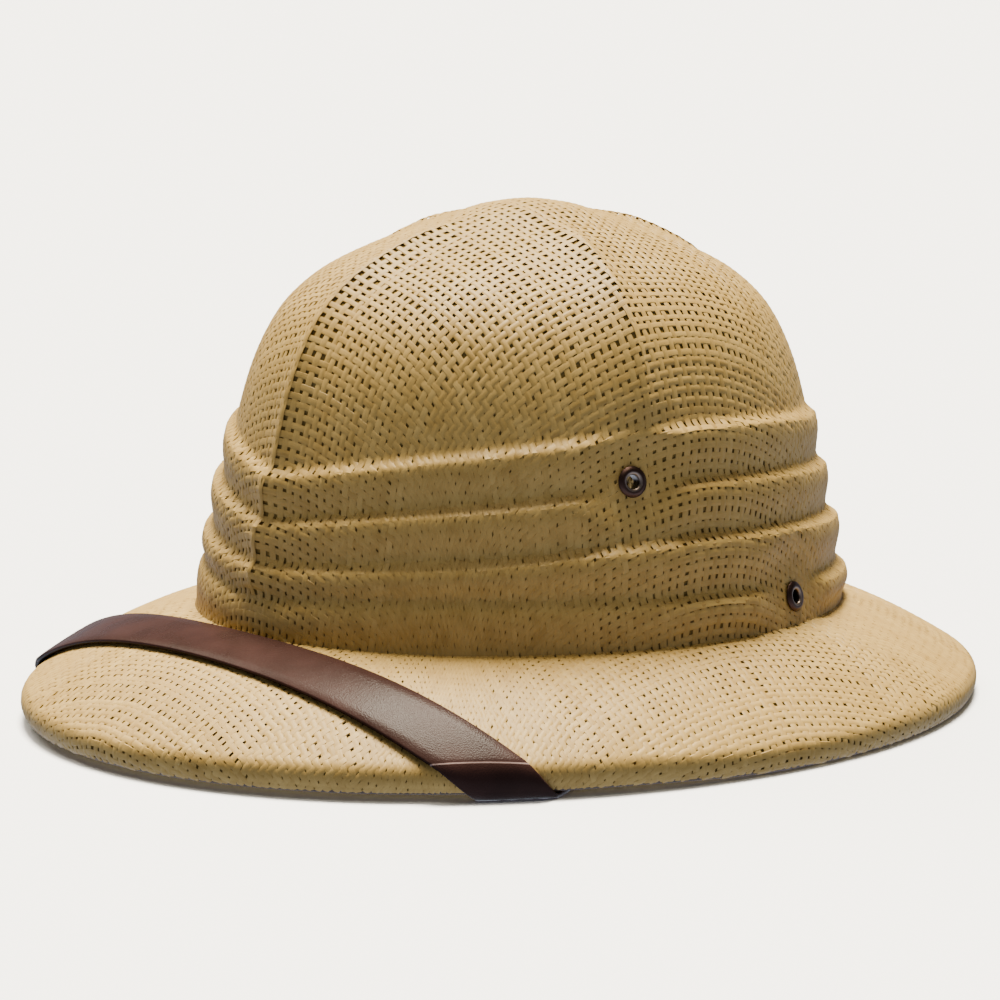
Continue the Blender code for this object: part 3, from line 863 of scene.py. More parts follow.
@dataclass(frozen=True)
class Leatherette:
    """Embossed vinyl leatherette: fine pebble grain under a satin lacquer, edges painted dark."""
    face: str = "#281a17"
    worn: str = "#33211e"
    edge: str = "#150b08"
    binding: tuple = ("#33201a", "#4b332a")
    # colour of the painted highlight along the fold over the lip
    crease_light: str = "#a08a86"
    roughness: float = 0.27
    roughness_spread: tuple = (-0.08, 0.1)
    grain: float = 0.00045
    relief: float = 0.0001
    strap_mottle: float = 60.0
    binding_mottle: float = 140.0
    edge_fade: float = 1.6
    crease_half: float = 0.0035

    def strap_material(self, across_edge: float, crease: float) -> Material:
        """Finish of the strap.

        Args:
            across_edge: Share of the section's round that one painted edge takes.
            crease: Share of the strap's length where it folds over the lip and a highlight is painted.

        Returns:
            The material; UV runs once round the section and once along the strap.
        """
        material, tree, shader = new_material("embossed_leatherette", Specular_IOR_Level=0.025)
        around, along = add_uv(tree)
        place = add_node(tree, "TexCoord").outputs["Object"]
        grain = add_node(tree, "TexVoronoi", {"Vector": place, "Scale": 1 / self.grain}, feature="SMOOTH_F1")
        mottle = add_noise(tree, self.strap_mottle, 4.0, place)
        face = add_ramp(tree, mottle, (0.35, self.face), (0.75, self.worn))
        near = add_math(tree, "PINGPONG", around, 0.5)
        edge = add_range(tree, near, across_edge, across_edge * self.edge_fade, 1.0, 0.0)
        tinted = add_mix(tree, edge, face, self.edge)
        # painted highlight: a lighter, mottled streak across the strap where it folds over the lip
        crease_highlight = add_math(tree, "MULTIPLY", add_math(tree, "COMPARE", along, crease, self.crease_half), mottle)
        lit = add_mix(tree, crease_highlight, tinted, self.crease_light)
        rough = add_range(tree, mottle, 0.0, 1.0, *(self.roughness + more for more in self.roughness_spread))
        tree.links.new(rough, shader.inputs["Roughness"])
        wire(tree, shader, lit, grain.outputs["Distance"], strength=0.6, distance=self.relief)
        return material

    def binding_material(self) -> Material:
        """Finish of the thin rim binding, lighter and duller than the strap.

        Returns:
            The material.
        """
        material, tree, shader = new_material("leatherette_binding", Roughness=0.5)
        mottle = add_noise(tree, self.binding_mottle, 4.0)
        colour = add_ramp(tree, mottle, (0.3, self.binding[0]), (0.7, self.binding[1]))
        wire(tree, shader, colour, mottle, strength=0.4, distance=self.relief)
        return material


@dataclass(frozen=True)
class AntiqueMetal:
    """Pressed brass with an antique bronze bath: dark in the hollows, rubbed lighter on the crests."""
    dark: str = "#1f1511"
    painted: str = "#3a2822"
    rubbed: str = "#75685f"
    tarnish: float = 900.0
    tarnish_share: float = 0.03
    relief: float = 0.0001

    def material(self) -> Material:
        """Finish of the eyelets.

        Returns:
            The material; UV runs round the eyelet and along its outline.
        """
        material, tree, shader = new_material("antique_bronzed_brass", Metallic=0.85, Roughness=0.36)
        tarnish = add_noise(tree, self.tarnish, 5.0)
        shift = add_math(tree, "MULTIPLY_ADD", tarnish, self.tarnish_share, add_uv(tree)[1])
        colour = add_ramp(tree, shift, (0.06, self.dark), (0.11, self.rubbed), (0.22, self.rubbed),
                          (0.27, self.painted), (0.60, self.painted), (0.70, self.dark))
        wire(tree, shader, colour, tarnish, strength=0.2, distance=self.relief)
        return material


@dataclass
class VentEyelet:
    """Turned vent eyelet in place of its CAD solid: rolled flange, barrel and clenched back."""
    name: str
    node: str
    flange: float = 0.0052
    hole: float = 0.0023
    metal: float = 0.0005
    roll: float = 0.0011
    back_flange: float = 0.0044
    sides: int = 48
    centre: Vector = field(init=False)
    axis: Vector = field(init=False)
    front: float = field(init=False)
    back: float = field(init=False)

    def __post_init__(self) -> None:
        """Read the seat, axis and depth of the CAD solid."""
        mesh = bpy.data.objects[self.node].data
        points = np.array([v.co[:] for v in mesh.vertices])
        facing = sum(f.area * np.outer(f.normal, f.normal) for f in mesh.polygons)
        axis = np.linalg.eigh(facing)[1][:, -1]
        axis = axis * np.sign(axis @ (points.mean(0) * (1, 1, 0)))
        side = np.array(Vector(axis).orthogonal().normalized())
        frame = np.stack([side, np.cross(axis, side), axis])
        low, high = (points @ frame.T).min(0), (points @ frame.T).max(0)
        self.centre, self.axis = Vector((low + high) / 2 @ frame), Vector(axis)
        self.front, self.back = float(high[2] - low[2]) / 2, float(low[2] - high[2]) / 2

    @property
    def seat(self) -> Matrix:
        """Turn and place of the eyelet, whose axis is its own Z."""
        return Matrix.Translation(self.centre) @ self.axis.to_track_quat("Z", "Y").to_matrix().to_4x4()

    def build(self, material: Material) -> Object:
        """Spin the eyelet's outline round its axis.

        Args:
            material: Finish of the eyelet.

        Returns:
            The piece.
        """
        hole, flange, front, metal = self.hole, self.flange, self.front, self.metal
        foot, back, shank = self.back_flange, self.back, self.hole + metal
        seat, mid = front - metal / 2 - self.roll, (flange + hole) / 2
        outline = [
            (hole, back), (hole, front - 1.5 * metal), (hole + 0.0002, front - 0.7 * metal),
            (hole + 0.0006, front - 0.2 * metal), (mid - 0.0003, front), (mid + 0.0004, front - 0.15 * metal),
            (flange - 0.0007, front - 0.9 * metal), (flange - 0.0002, seat + 1.3 * metal),
            (flange, seat + 0.7 * metal), (flange - 0.0001, seat + 0.2 * metal), (flange - 0.0004, seat),
            (shank, seat), (shank, back + metal), (foot - 0.0002, back + metal), (foot, back + metal / 2),
            (foot - 0.0002, back), (hole, back)]
        turn = np.arange(self.sides) / self.sides * 2 * pi
        points = np.array([[(r * cos(a), r * sin(a), z) for r, z in outline] for a in turn])
        mesh = grid_mesh(self.name, points)
        with edited(mesh) as bm:
            bmesh.ops.recalc_face_normals(bm, faces=bm.faces)
            bmesh.ops.transform(bm, matrix=self.seat, verts=bm.verts)
        return add_object(self.name, mesh, material)


@dataclass
class WovenHood:
    """Crown and brim as a woven cloth: outer yarns over the cloth's closed inner side, whose outer face
    carries painted shade.
    """
    form: HatForm
    net: StrawNet
    eyelets: list
    yarn_halves: tuple = (0.00100, 0.00121)
    closest: float = 0.458
    widening: tuple = (0.070, 0.115)
    yarn_thickness: float = 0.00050
    sharp_angle: float = radians(32)
    swing: float = 0.00012
    middle_depth: float = 0.00040
    inner_depth: float = 0.00095
    edge_inset: float = 0.0004
    shortest_end: float = 0.1
    corner_clear: float = 0.06
    tone_spread: float = 0.06
    width_spread: float = 0.05
    width_limits: tuple = (0.88, 1.1)
    fibre_shift: float = 0.37
    near_top: float = 0.16
    hole_clear: float = 0.0034
    hole_inset: float = 0.0004
    hole_reach: float = 0.008
    columns: int = 240
    crown_rows: int = 104
    brim_rows: int = 24
    lip_rows: int = 10
    groups: int = 3
    seed: int = 11

    def eyelet_gap(self, points: Array) -> Array:
        """Distance to the nearest eyelet's axis.

        Args:
            points: Points in the hat's frame.

        Returns:
            Distances, endless where no eyelet is near.
        """
        gap = np.full(points.shape[:-1], np.inf)
        for eyelet in self.eyelets:
            away, axis = points - np.array(eyelet.centre), np.array(eyelet.axis)
            along = away @ axis
            flat = np.linalg.norm(away - along[..., None] * axis, axis=-1)
            gap = np.minimum(gap, np.where(np.abs(along) < self.hole_reach, flat, np.inf))
        return gap

    def yarn_runs(self, zone: Zone) -> list[tuple[int, Array, Array]]:
        """Lay out the yarns of one direction.

        Args:
            zone: Warp or weft.

        Returns:
            For each unbroken run its yarn number, its flat places and its height sign along it.
        """
        q = self.net.wavered()
        if zone is Zone.WEFT:
            q = np.swapaxes(q, 0, 1)
        size, steps = len(q), np.arange(2 * len(q) - 1)
        half = np.full((size, len(steps), 2), np.nan)
        half[:, ::2], half[:, 1::2] = q, (q[:, :-1] + q[:, 1:]) / 2
        sign = np.where(steps % 2 == 0, np.cos(pi * (np.arange(size)[:, None] + steps / 2)), 0.0)
        sign = sign if zone is Zone.WARP else -sign
        edge = self.form.rim_run - self.edge_inset
        inside = np.isfinite(half[..., 0]) & (np.hypot(half[..., 0], half[..., 1]) <= edge)
        inside &= self.eyelet_gap(self.form.at(np.nan_to_num(half))) > self.hole_clear
        runs = []
        for i in range(size):
            marks = np.flatnonzero(np.diff(np.concatenate([[0], inside[i].astype(int), [0]])))
            for start, stop in zip(marks[::2], marks[1::2]):
                places, signs = list(half[i, start:stop]), list(sign[i, start:stop])
                for end, beyond in ((0, start - 1), (-1, stop)):
                    out = np.hypot(*half[i, beyond]) if 0 <= beyond < len(steps) else 0.0
                    if out > edge:
                        here = np.hypot(*places[end])
                        share = (edge - here) / (out - here)
                        if share >= self.shortest_end:
                            at = 0 if end == 0 else len(places)
                            places.insert(at, places[end] + (half[i, beyond] - places[end]) * share)
                            signs.insert(at, signs[end] * (1 - share))
                if len(places) > 2:
                    runs.append((i - self.net.count, *self.cornered(np.array(places), np.array(signs))))
        return runs

    def cornered(self, places: Array, signs: Array) -> tuple[Array, Array]:
        """Give a run a point of its own where it turns from the crown to the brim.

        Args:
            places: Flat places of the run.
            signs: Its height signs.

        Returns:
            Both with the turning points put in.
        """
        past = np.hypot(*places.T) - self.form.crown_run
        for k in np.flatnonzero(past[:-1] * past[1:] < 0)[::-1]:
            share = past[k] / (past[k] - past[k + 1])
            if self.corner_clear < share < 1 - self.corner_clear:
                places = np.insert(places, k + 1, places[k] + (places[k + 1] - places[k]) * share, 0)
                signs = np.insert(signs, k + 1, signs[k] + (signs[k + 1] - signs[k]) * share)
        return places, signs

    def spacing_at(self, q: Array, zone: Zone) -> Array:
        """Distance between neighbouring yarns of one direction, square to them.

        Args:
            q: Flat places.
            zone: Warp or weft.

        Returns:
            Distance at each place.
        """
        places = self.net.places
        points = self.form.at(np.nan_to_num(places))
        points[~np.isfinite(places[..., 0])] = np.nan
        a, b = np.gradient(points, axis=0), np.gradient(points, axis=1)
        area = np.linalg.norm(np.cross(a, b), axis=-1)
        spacing = area / np.linalg.norm(b if zone is Zone.WARP else a, axis=-1)
        known = np.isfinite(area)
        return spacing[known][find_nearest(places[known], q)]

    def build_yarns(self, zone: Zone, material: Material) -> list[Object]:
        """Make the yarns of one direction as a few pieces.

        Args:
            zone: Warp or weft.
            material: Finish of the yarns.

        Returns:
            The pieces.
        """
        rng = np.random.default_rng(self.seed + (zone is Zone.WEFT))
        size = 2 * self.net.count + 1
        tones = rng.normal(0.0, self.tone_spread, size)
        widths = np.clip(rng.normal(1.0, self.width_spread, size), *self.width_limits)
        runs = self.yarn_runs(zone)
        total = sum(len(r[1]) for r in runs)
        names = {Zone.WARP: ("right", "middle", "left"), Zone.WEFT: ("back", "middle", "front")}[zone]
        pieces, done, group = [], 0, []
        for index, run in enumerate(runs):
            group.append(run)
            done += len(run[1])
            if done >= total * (len(pieces) + 1) / self.groups or index == len(runs) - 1:
                name = f"{zone.value}_yarns_{names[len(pieces)]}"
                pieces.append(self.yarn_piece(name, zone, group, tones, widths, material))
                group = []
        return pieces

    def yarn_piece(self, name: str, zone: Zone, runs: list, tones: Array, widths: Array,
                   material: Material) -> Object:
        """Bevel a curve along each run and press the yarns flat against the form.

        Args:
            name: Name of the piece.
            zone: Warp or weft.
            runs: Yarn number, flat places and height signs of each run.
            tones: Tone of each yarn.
            widths: Width share of each yarn.
            material: Finish of the yarns.

        Returns:
            The piece.
        """
        q = np.concatenate([r[1] for r in runs])
        sign = np.concatenate([r[2] for r in runs])
        number = np.concatenate([np.full(len(r[1]), r[0] + self.net.count) for r in runs])
        normal = self.form.normal(q)
        spacing = self.spacing_at(q, zone)
        swing = self.swing * np.clip(spacing / self.net.pitch, 0.3, 1.0)**1.5
        centre = self.form.at(q) + normal * (swing * sign - self.middle_depth)[:, None]
        spread = ease((np.hypot(*q.T) - self.widening[0]) / (self.widening[1] - self.widening[0]))
        half = self.yarn_halves[0] + (self.yarn_halves[1] - self.yarn_halves[0]) * spread
        radius = np.minimum(half * widths[number], self.closest * spacing)
        curve = bpy.data.curves.new(name, "CURVE")
        curve.dimensions = "3D"
        curve.bevel_depth = 1.0
        curve.bevel_resolution = 1
        start, lengths = 0, []
        for _, places, _ in runs:
            line = centre[start:start + len(places)]
            spline = curve.splines.new("POLY")
            spline.points.add(len(line) - 1)
            spline.points.foreach_set("co", np.c_[line, np.ones(len(line))].ravel())
            spline.points.foreach_set("radius", radius[start:start + len(line)])
            lengths.append(run_along(line))
            start += len(line)
        holder = place_object(name + "_curve", curve)
        mesh = final_mesh(holder)
        bpy.data.objects.remove(holder)
        sides = len(mesh.vertices) // len(q)
        flat = np.empty(len(mesh.vertices) * 3, np.float32)
        mesh.vertices.foreach_get("co", flat)
        rings = flat.reshape(len(q), sides, 3).astype(float)
        height = ((rings - centre[:, None]) * normal[:, None]).sum(-1)
        press = 1 - self.yarn_thickness / 2 / half
        rings -= normal[:, None] * (height * press[:, None])[..., None]
        mesh.vertices.foreach_set("co", rings.astype(np.float32).ravel())
        tone = mesh.attributes.new("tone", "FLOAT", "POINT")
        tone.data.foreach_set("value", np.repeat(tones[number], sides).astype(np.float32))
        corners = np.empty(len(mesh.loops), np.int32)
        mesh.loops.foreach_get("vertex_index", corners)
        ring, side = corners // sides, (corners % sides).reshape(-1, 4)
        wraps = (side == sides - 1).any(1) & (side == 0).any(1)
        v = np.where(wraps[:, None] & (side == 0), sides, side).ravel() / sides
        u = np.concatenate(lengths)[ring] + number[ring] * self.fibre_shift
        layer = mesh.uv_layers.new(name="yarn")
        layer.data.foreach_set("uv", np.c_[u, v].astype(np.float32).ravel())
        piece = add_object(name, mesh, material)
        mesh.set_sharp_from_angle(angle=self.sharp_angle)
        return piece

    def build_inside(self, shaded: Material, inside: Material) -> Object:
        """Make the closed inner side of the cloth, with the eyelets' holes in it.

        Args:
            shaded: Painted shade for the side that shows between the yarns.
            inside: Finish of the inner side.

        Returns:
            The piece.
        """
        run, rim = self.form.crown_run, self.form.rim_run
        brim = run + self.form.brim_run
        stretches = (run, brim, self.brim_rows), (brim, rim, self.lip_rows)
        s = np.concatenate([np.linspace(0, run, self.crown_rows + 1),
                            *(np.linspace(low, high, rows + 1)[1:] for low, high, rows in stretches)])
        t = angles_round(self.columns)
        q = np.stack([np.outer(np.sin(t), s), -np.outer(np.cos(t), s)], -1)
        points = self.form.at(q) - self.form.normal(q) * self.inner_depth
        points[:, 0] = points[:, 0].mean(0)
        mesh = grid_mesh("straw_inside", points, self.net.cloth_coordinates(q))
        with edited(mesh) as bm:
            bmesh.ops.recalc_face_normals(bm, faces=bm.faces)
            if sum(f.normal.z for f in bm.faces if f.calc_center_median().z > self.near_top) < 0:
                bmesh.ops.reverse_faces(bm, faces=bm.faces)
        # outer face: painted shade between the yarns; inner face: the woven straw
        piece = add_object("straw_inside", mesh, shaded, inside)
        wall = add_wall(piece, self.form.wall - self.inner_depth, -1.0)
        wall.material_offset = 1
        wall.material_offset_rim = 1
        cutters = []
        for eyelet in self.eyelets:
            cutter = place_object("cutter", bpy.data.meshes.new("cutter"))
            with edited(cutter.data) as bm:
                radius = self.hole_clear - self.hole_inset
                bmesh.ops.create_cone(bm, cap_ends=True, segments=32, radius1=radius, radius2=radius,
                                      depth=2 * self.hole_reach)
                bmesh.ops.transform(bm, matrix=eyelet.seat, verts=bm.verts)
            hole = piece.modifiers.new("Hole", "BOOLEAN")
            hole.operation = "DIFFERENCE"
            hole.solver = "EXACT"
            hole.object = cutter
            cutters.append(cutter)
        apply_modifiers(piece)
        for cutter in cutters:
            bpy.data.objects.remove(cutter)
        return piece


@dataclass
class RimBinding:
    """Leatherette strip inside the lip, which shows a little below its edge."""
    form: HatForm
    inset: float = 0.00244
    wall: float = 0.001
    height: float = 0.005
    shows: float = 0.0005
    soft_edge: float = 0.0003
    columns: int = 240

    def build(self, material: Material) -> Object:
        """Bend the strip round the rim and give it its wall.

        Args:
            material: Finish of the strip.

        Returns:
            The piece.
        """
        t = angles_round(self.columns)
        low = self.form.lip(t, self.form.lip_end) - self.form.rim_normal(t) * self.inset - (0, 0, self.shows)
        column = [low + (0, 0, self.height * share) for share in (1.0, 0.75, 0.5, 0.25, 0.0)]
        piece = add_object("leatherette_rim", grid_mesh("leatherette_rim", np.stack(column, 1)), material)
        add_wall(piece, self.wall, 0.0)
        soft = piece.modifiers.new("Soft edges", "BEVEL")
        soft.width = self.soft_edge
        soft.segments = 3
        soft.limit_method = "ANGLE"
        soft.angle_limit = radians(50)
        apply_modifiers(piece)
        with edited(piece.data) as bm:
            bmesh.ops.recalc_face_normals(bm, faces=bm.faces)
        return piece


@dataclass
class ChinStrap:
    """Leatherette strap: over the front of the brim, round the lip and back to the lower eyelets."""
    form: HatForm
    width: float = 0.020
    thickness: float = 0.0015
    off_crown: float = 0.003
    rim_angle: float = radians(51)
    tab: float = 0.026
    flat: float = 0.015
    stand_off: float = 0.0004
    gap: float = 0.0003
    run: tuple = ((radians(84), 0.16, -0.66), (radians(95), 0.23, -0.14))
    tab_rise: float = radians(23)
    turn_over: float = radians(2)
    turn_rows: int = 24
    fold_rows: int = 8
    skew_start: float = 0.2
    skew_run: float = 0.7
    tab_shares: tuple = (0.25, 0.5, 0.75, 1.0)
    laid_rows: int = 40
    wrap_rows: int = 26
    flat_rows: int = 8
    free_rows: int = 40
    section_top: tuple = (
        (-1.0, 0.30), (-1.0, 0.62), (-0.985, 0.88), (-0.955, 0.985), (-0.6, 1.0), (-0.2, 1.0))
    section_low: tuple = ((-0.2, 0.0), (-0.6, 0.0), (-0.97, 0.02), (-0.99, 0.12))

    @property
    def section(self) -> Array:
        """Round of the strap's section: share across from -1 to 1, share of the thickness."""
        top, low = np.array(self.section_top), np.array(self.section_low)
        return np.concatenate([top, top[::-1] * (-1, 1), low[::-1] * (-1, 1), low])

    def wrap_profile(self) -> tuple[Array, Array, float]:
        """Draw the strap's inner face past the brim.

        Returns:
            Outward places with heights, the distance to each, and where it lies flat.
        """
        form, radius = self.form, self.form.lip_radius + self.gap + self.stand_off
        turn_end = form.lip_end - self.turn_over
        angle = np.linspace(form.lip_top, turn_end, self.turn_rows + 1)
        wide = np.stack([radius * np.cos(angle) - form.lip_radius, radius * np.sin(angle)], -1)
        bottom = form.lip_radius * sin(form.lip_end) - form.edge_over_rest - self.gap
        small = (wide[-1, 1] - bottom) / (1 + sin(turn_end))
        angle = np.linspace(turn_end, radians(-90), self.fold_rows + 1)[1:]
        centre = (wide[-1, 0] - small * cos(turn_end), bottom + small)
        tight = small * np.stack([np.cos(angle), np.sin(angle)], -1) + centre
        outline = np.concatenate([wide, tight, tight[-1:] - (self.flat + 2 * self.width, 0)])
        places = run_along(outline)
        return outline, places, float(places[-2])

    def line(self, q: Array) -> tuple[Array, Array]:
        """Middle of the strap laid flat in plan.

        Args:
            q: 0 on the hat's middle, 1 at the lip and more beyond it.

        Returns:
            Points and unit directions in plan.
        """
        form = self.form
        front = form.crown(np.zeros(1), np.zeros(1), True)[0, 1] - self.off_crown - self.width / 2
        end = form.lip(np.array([self.rim_angle]), form.lip_top)[0]
        bend = np.minimum(q, 1.0)
        point = np.stack([end[0] * q, front + (end[1] - front) * (bend * bend + 2 * (q - bend))], -1)
        return point, unit(np.stack([np.full_like(q, end[0]), (end[1] - front) * 2 * bend], -1))

    def wrapped(self, p: Array) -> tuple[Array, Array]:
        """Strap's inner face and outward normal for places on the brim laid flat in plan.

        Args:
            p: Plan places as an array of pairs.

        Returns:
            Points and unit normals.
        """
        form = self.form
        samples = np.linspace(0, pi, 4001)
        rim = form.lip(samples, form.lip_top)[:, :2]
        t = samples[((p[..., None, :] - rim) ** 2).sum(-1).argmin(-1)]
        n, start = form.rim_normal(t), form.lip(t, form.lip_top)
        beyond = ((p - start[..., :2]) * n[..., :2]).sum(-1)
        share, angle = np.full(t.shape, 0.5), np.arctan2(p[..., 0], -p[..., 1])

        def on_brim_at(step: float = 0.01) -> tuple[Array, Array, Array]:
            """Points of the bare brim at the present shares and angles and how they move with each."""
            point = form.brim(angle, share, False)
            return (point, (form.brim(angle, share + step, False) - point) / step,
                    (form.brim(angle + step, share, False) - point) / step)

        for _ in range(25):
            here, out, along = on_brim_at()
            miss, area = p - here[..., :2], cross(out, along)
            share = np.clip(share + cross(miss, along) / area, -0.2, 1.2)
            angle = angle + cross(out, miss) / area
        here, out, along = on_brim_at()
        brim_normal = unit(np.cross(out, along))
        outline, places, _ = self.wrap_profile()

        def read(place: Array) -> list[Array]:
            """Outward place and height of the wrap's outline at a distance past the brim."""
            return [np.interp(place, places, outline[:, k]) for k in (0, 1)]

        forward, up = read(beyond)
        before, after = read(np.maximum(beyond - self.gap, 0)), read(beyond + self.gap)
        wrap_normal = n * (before[1] - after[1])[..., None]
        wrap_normal[..., 2] = after[0] - before[0]
        wrap_point = form.rim_oval(t) + n * forward[..., None]
        wrap_point[..., 2] += up
        on_brim = (beyond <= 0)[..., None]
        lifted = here + brim_normal * (self.gap + self.stand_off)
        return np.where(on_brim, lifted, wrap_point), np.where(on_brim, brim_normal, unit(wrap_normal))

    def stations(self) -> tuple[Array, Array]:
        """Spread the rows over the laid and wrapped stretch.

        Returns:
            Place of each row, and how far it turns to follow the rim.
        """
        end, way = self.line(np.ones(1))
        flat_place = self.wrap_profile()[2]
        n = self.form.rim_normal(np.array([self.rim_angle]))[0, :2]
        across_rim = end[0, 0] * (way[0] @ n) / way[0, 0]
        q = np.linspace(0, 1, self.laid_rows + 1)[:-1]
        wrap = 1 + flat_place * np.linspace(0, 1, self.wrap_rows + 1) / across_rim
        share = np.linspace(0, 1, self.flat_rows + 1)[1:]
        flat = 1 + (flat_place + self.flat * share) / across_rim
        skew = [ease((q - self.skew_start) / self.skew_run), np.ones_like(wrap), 1 - ease(share)]
        return np.concatenate([q, wrap, flat]), np.concatenate(skew)

    def rows(self, eyelet: VentEyelet, across: Array) -> tuple[Array, Array]:
        """Rows of the strap's left half, from the middle of the brim to the end of its tab.

        Args:
            eyelet: Lower left eyelet, which holds the tab.
            across: Places across the strap in metres.

        Returns:
            Points of the inner face and their normals, as rows, places, xyz.
        """
        q, skew = self.stations()
        point, way = self.line(q)
        side = np.stack([-way[:, 1], way[:, 0]], -1)
        before, after = self.form.lip(self.rim_angle + np.array([-0.01, 0.01]), self.form.lip_top)[:, :2]
        turned = (after - before) / (side @ (after - before))[:, None]
        row = side * (1 - skew)[:, None] + turned * skew[:, None]
        points, normals = self.wrapped(point[:, None] + row[:, None] * across[None, :, None])
        points[0, :, 0] = 0.0
        normals[0, :, 0] = 0.0
        normals[0] = unit(normals[0])
        free_points, free_normals = self.free_stretch(points, normals, eyelet, across)
        return np.concatenate([points, free_points]), np.concatenate([normals, free_normals])

    def free_stretch(self, points: Array, normals: Array, eyelet: VentEyelet,
                     across: Array) -> tuple[Array, Array]:
        """Rows of the free stretch from under the rim to the end of the tab, turning up.

        Args:
            points: Rows of the laid and wrapped stretch.
            normals: Their normals.
            eyelet: Lower left eyelet, which holds the tab.
            across: Places across the strap in metres.

        Returns:
            Points of the inner face and their normals, as rows, places, xyz.
        """
        form, axis = self.form, eyelet.axis
        level = Vector((-axis.y, axis.x, 0)).normalized()
        up = axis.cross(level)
        along = level * cos(self.tab_rise) + up * sin(self.tab_rise)
        tab_side = level * sin(self.tab_rise) - up * cos(self.tab_rise)
        back = eyelet.centre + axis * (eyelet.back + eyelet.metal + self.gap)
        tab_start = back + axis * self.thickness - along * (self.tab / 2)
        middle = (points[:, 0] + points[:, -1]) / 2
        start_side = Vector(unit(points[-1, -1] - points[-1, 0]))
        knots = [middle[-1]]
        for angle, inside, over in self.run:
            inset = form.wall + inside * self.width
            knots.append(((form.crown_width / 2 - inset) * sin(angle),
                          form.crown_back - (form.crown_length / 2 - inset) * cos(angle),
                          form.ring_height + over * self.width))
        knots = np.array([*knots, tab_start])
        places = run_along(knots)
        spans = np.diff(places)
        steps = np.diff(knots, axis=0) / spans[:, None]
        matrix, right = np.eye(len(knots)), np.zeros((len(knots), 3))
        right[0], right[-1] = unit(middle[-1] - middle[-2]), along
        for i in range(1, len(spans)):
            matrix[i, i - 1:i + 2] = spans[i], 2 * (spans[i - 1] + spans[i]), spans[i - 1]
            right[i] = 3 * (spans[i] * steps[i - 1] + spans[i - 1] * steps[i])
        slopes = np.linalg.solve(matrix, right)
        rows, faces, face = [], [], Vector(normals[-1, 0])
        for part in np.arange(1, self.free_rows + 1) / self.free_rows:
            at = part * places[-1]
            i = int(np.clip(np.searchsorted(places, at) - 1, 0, len(spans) - 1))
            q, span = (at - places[i]) / spans[i], spans[i]
            spot = hermite(q, span, knots[i], knots[i + 1], slopes[i], slopes[i + 1])
            way = (knots[i + 1] - knots[i]) * (6 * q - 6 * q**2) / span
            way = way + slopes[i] * (3 * q**2 - 4 * q + 1) + slopes[i + 1] * (3 * q**2 - 2 * q)
            way = Vector(way).normalized()
            side = start_side.lerp(tab_side, float(ease(part)))
            side = (side - way * side.dot(way)).normalized()
            turned = way.cross(side)
            face = turned if turned.dot(face) > 0 else -turned
            rows.append([Vector(spot) + side * w for w in across])
            faces.append([face] * len(across))
        for part in self.tab_shares:
            rows.append([tab_start + along * (self.tab * part) + tab_side * w for w in across])
            faces.append([face] * len(across))
        return np.array(rows), np.array(faces)

    def build(self, eyelet: VentEyelet, finish: Leatherette) -> Object:
        """Loft the strap's left half through its rows and mirror it.

        Args:
            eyelet: Lower left eyelet, which holds the tab.
            finish: Leatherette finish.

        Returns:
            The whole strap as one piece.
        """
        section = self.section
        points, normals = self.rows(eyelet, section[:, 0] * self.width / 2)
        skin = points + normals * (section[:, 1] * self.thickness)[None, :, None]
        mesh = grid_mesh("chin_strap_leatherette", np.swapaxes(skin, 0, 1))
        with edited(mesh) as bm:
            open_edges = [e for e in bm.edges if e.is_boundary and min(v.co.x for v in e.verts) > 1e-5]
            bmesh.ops.holes_fill(bm, edges=open_edges, sides=0)
            bmesh.ops.recalc_face_normals(bm, faces=bm.faces)
            half = bm.verts[:] + bm.edges[:] + bm.faces[:]
            bmesh.ops.mirror(bm, geom=half, axis="X", merge_dist=1e-5, mirror_u=False)
            bmesh.ops.recalc_face_normals(bm, faces=bm.faces)
        crease = (self.laid_rows + 3) / (len(points) - 1)
        return add_object("chin_strap_leatherette", mesh, finish.strap_material(0.5 / len(section), crease))


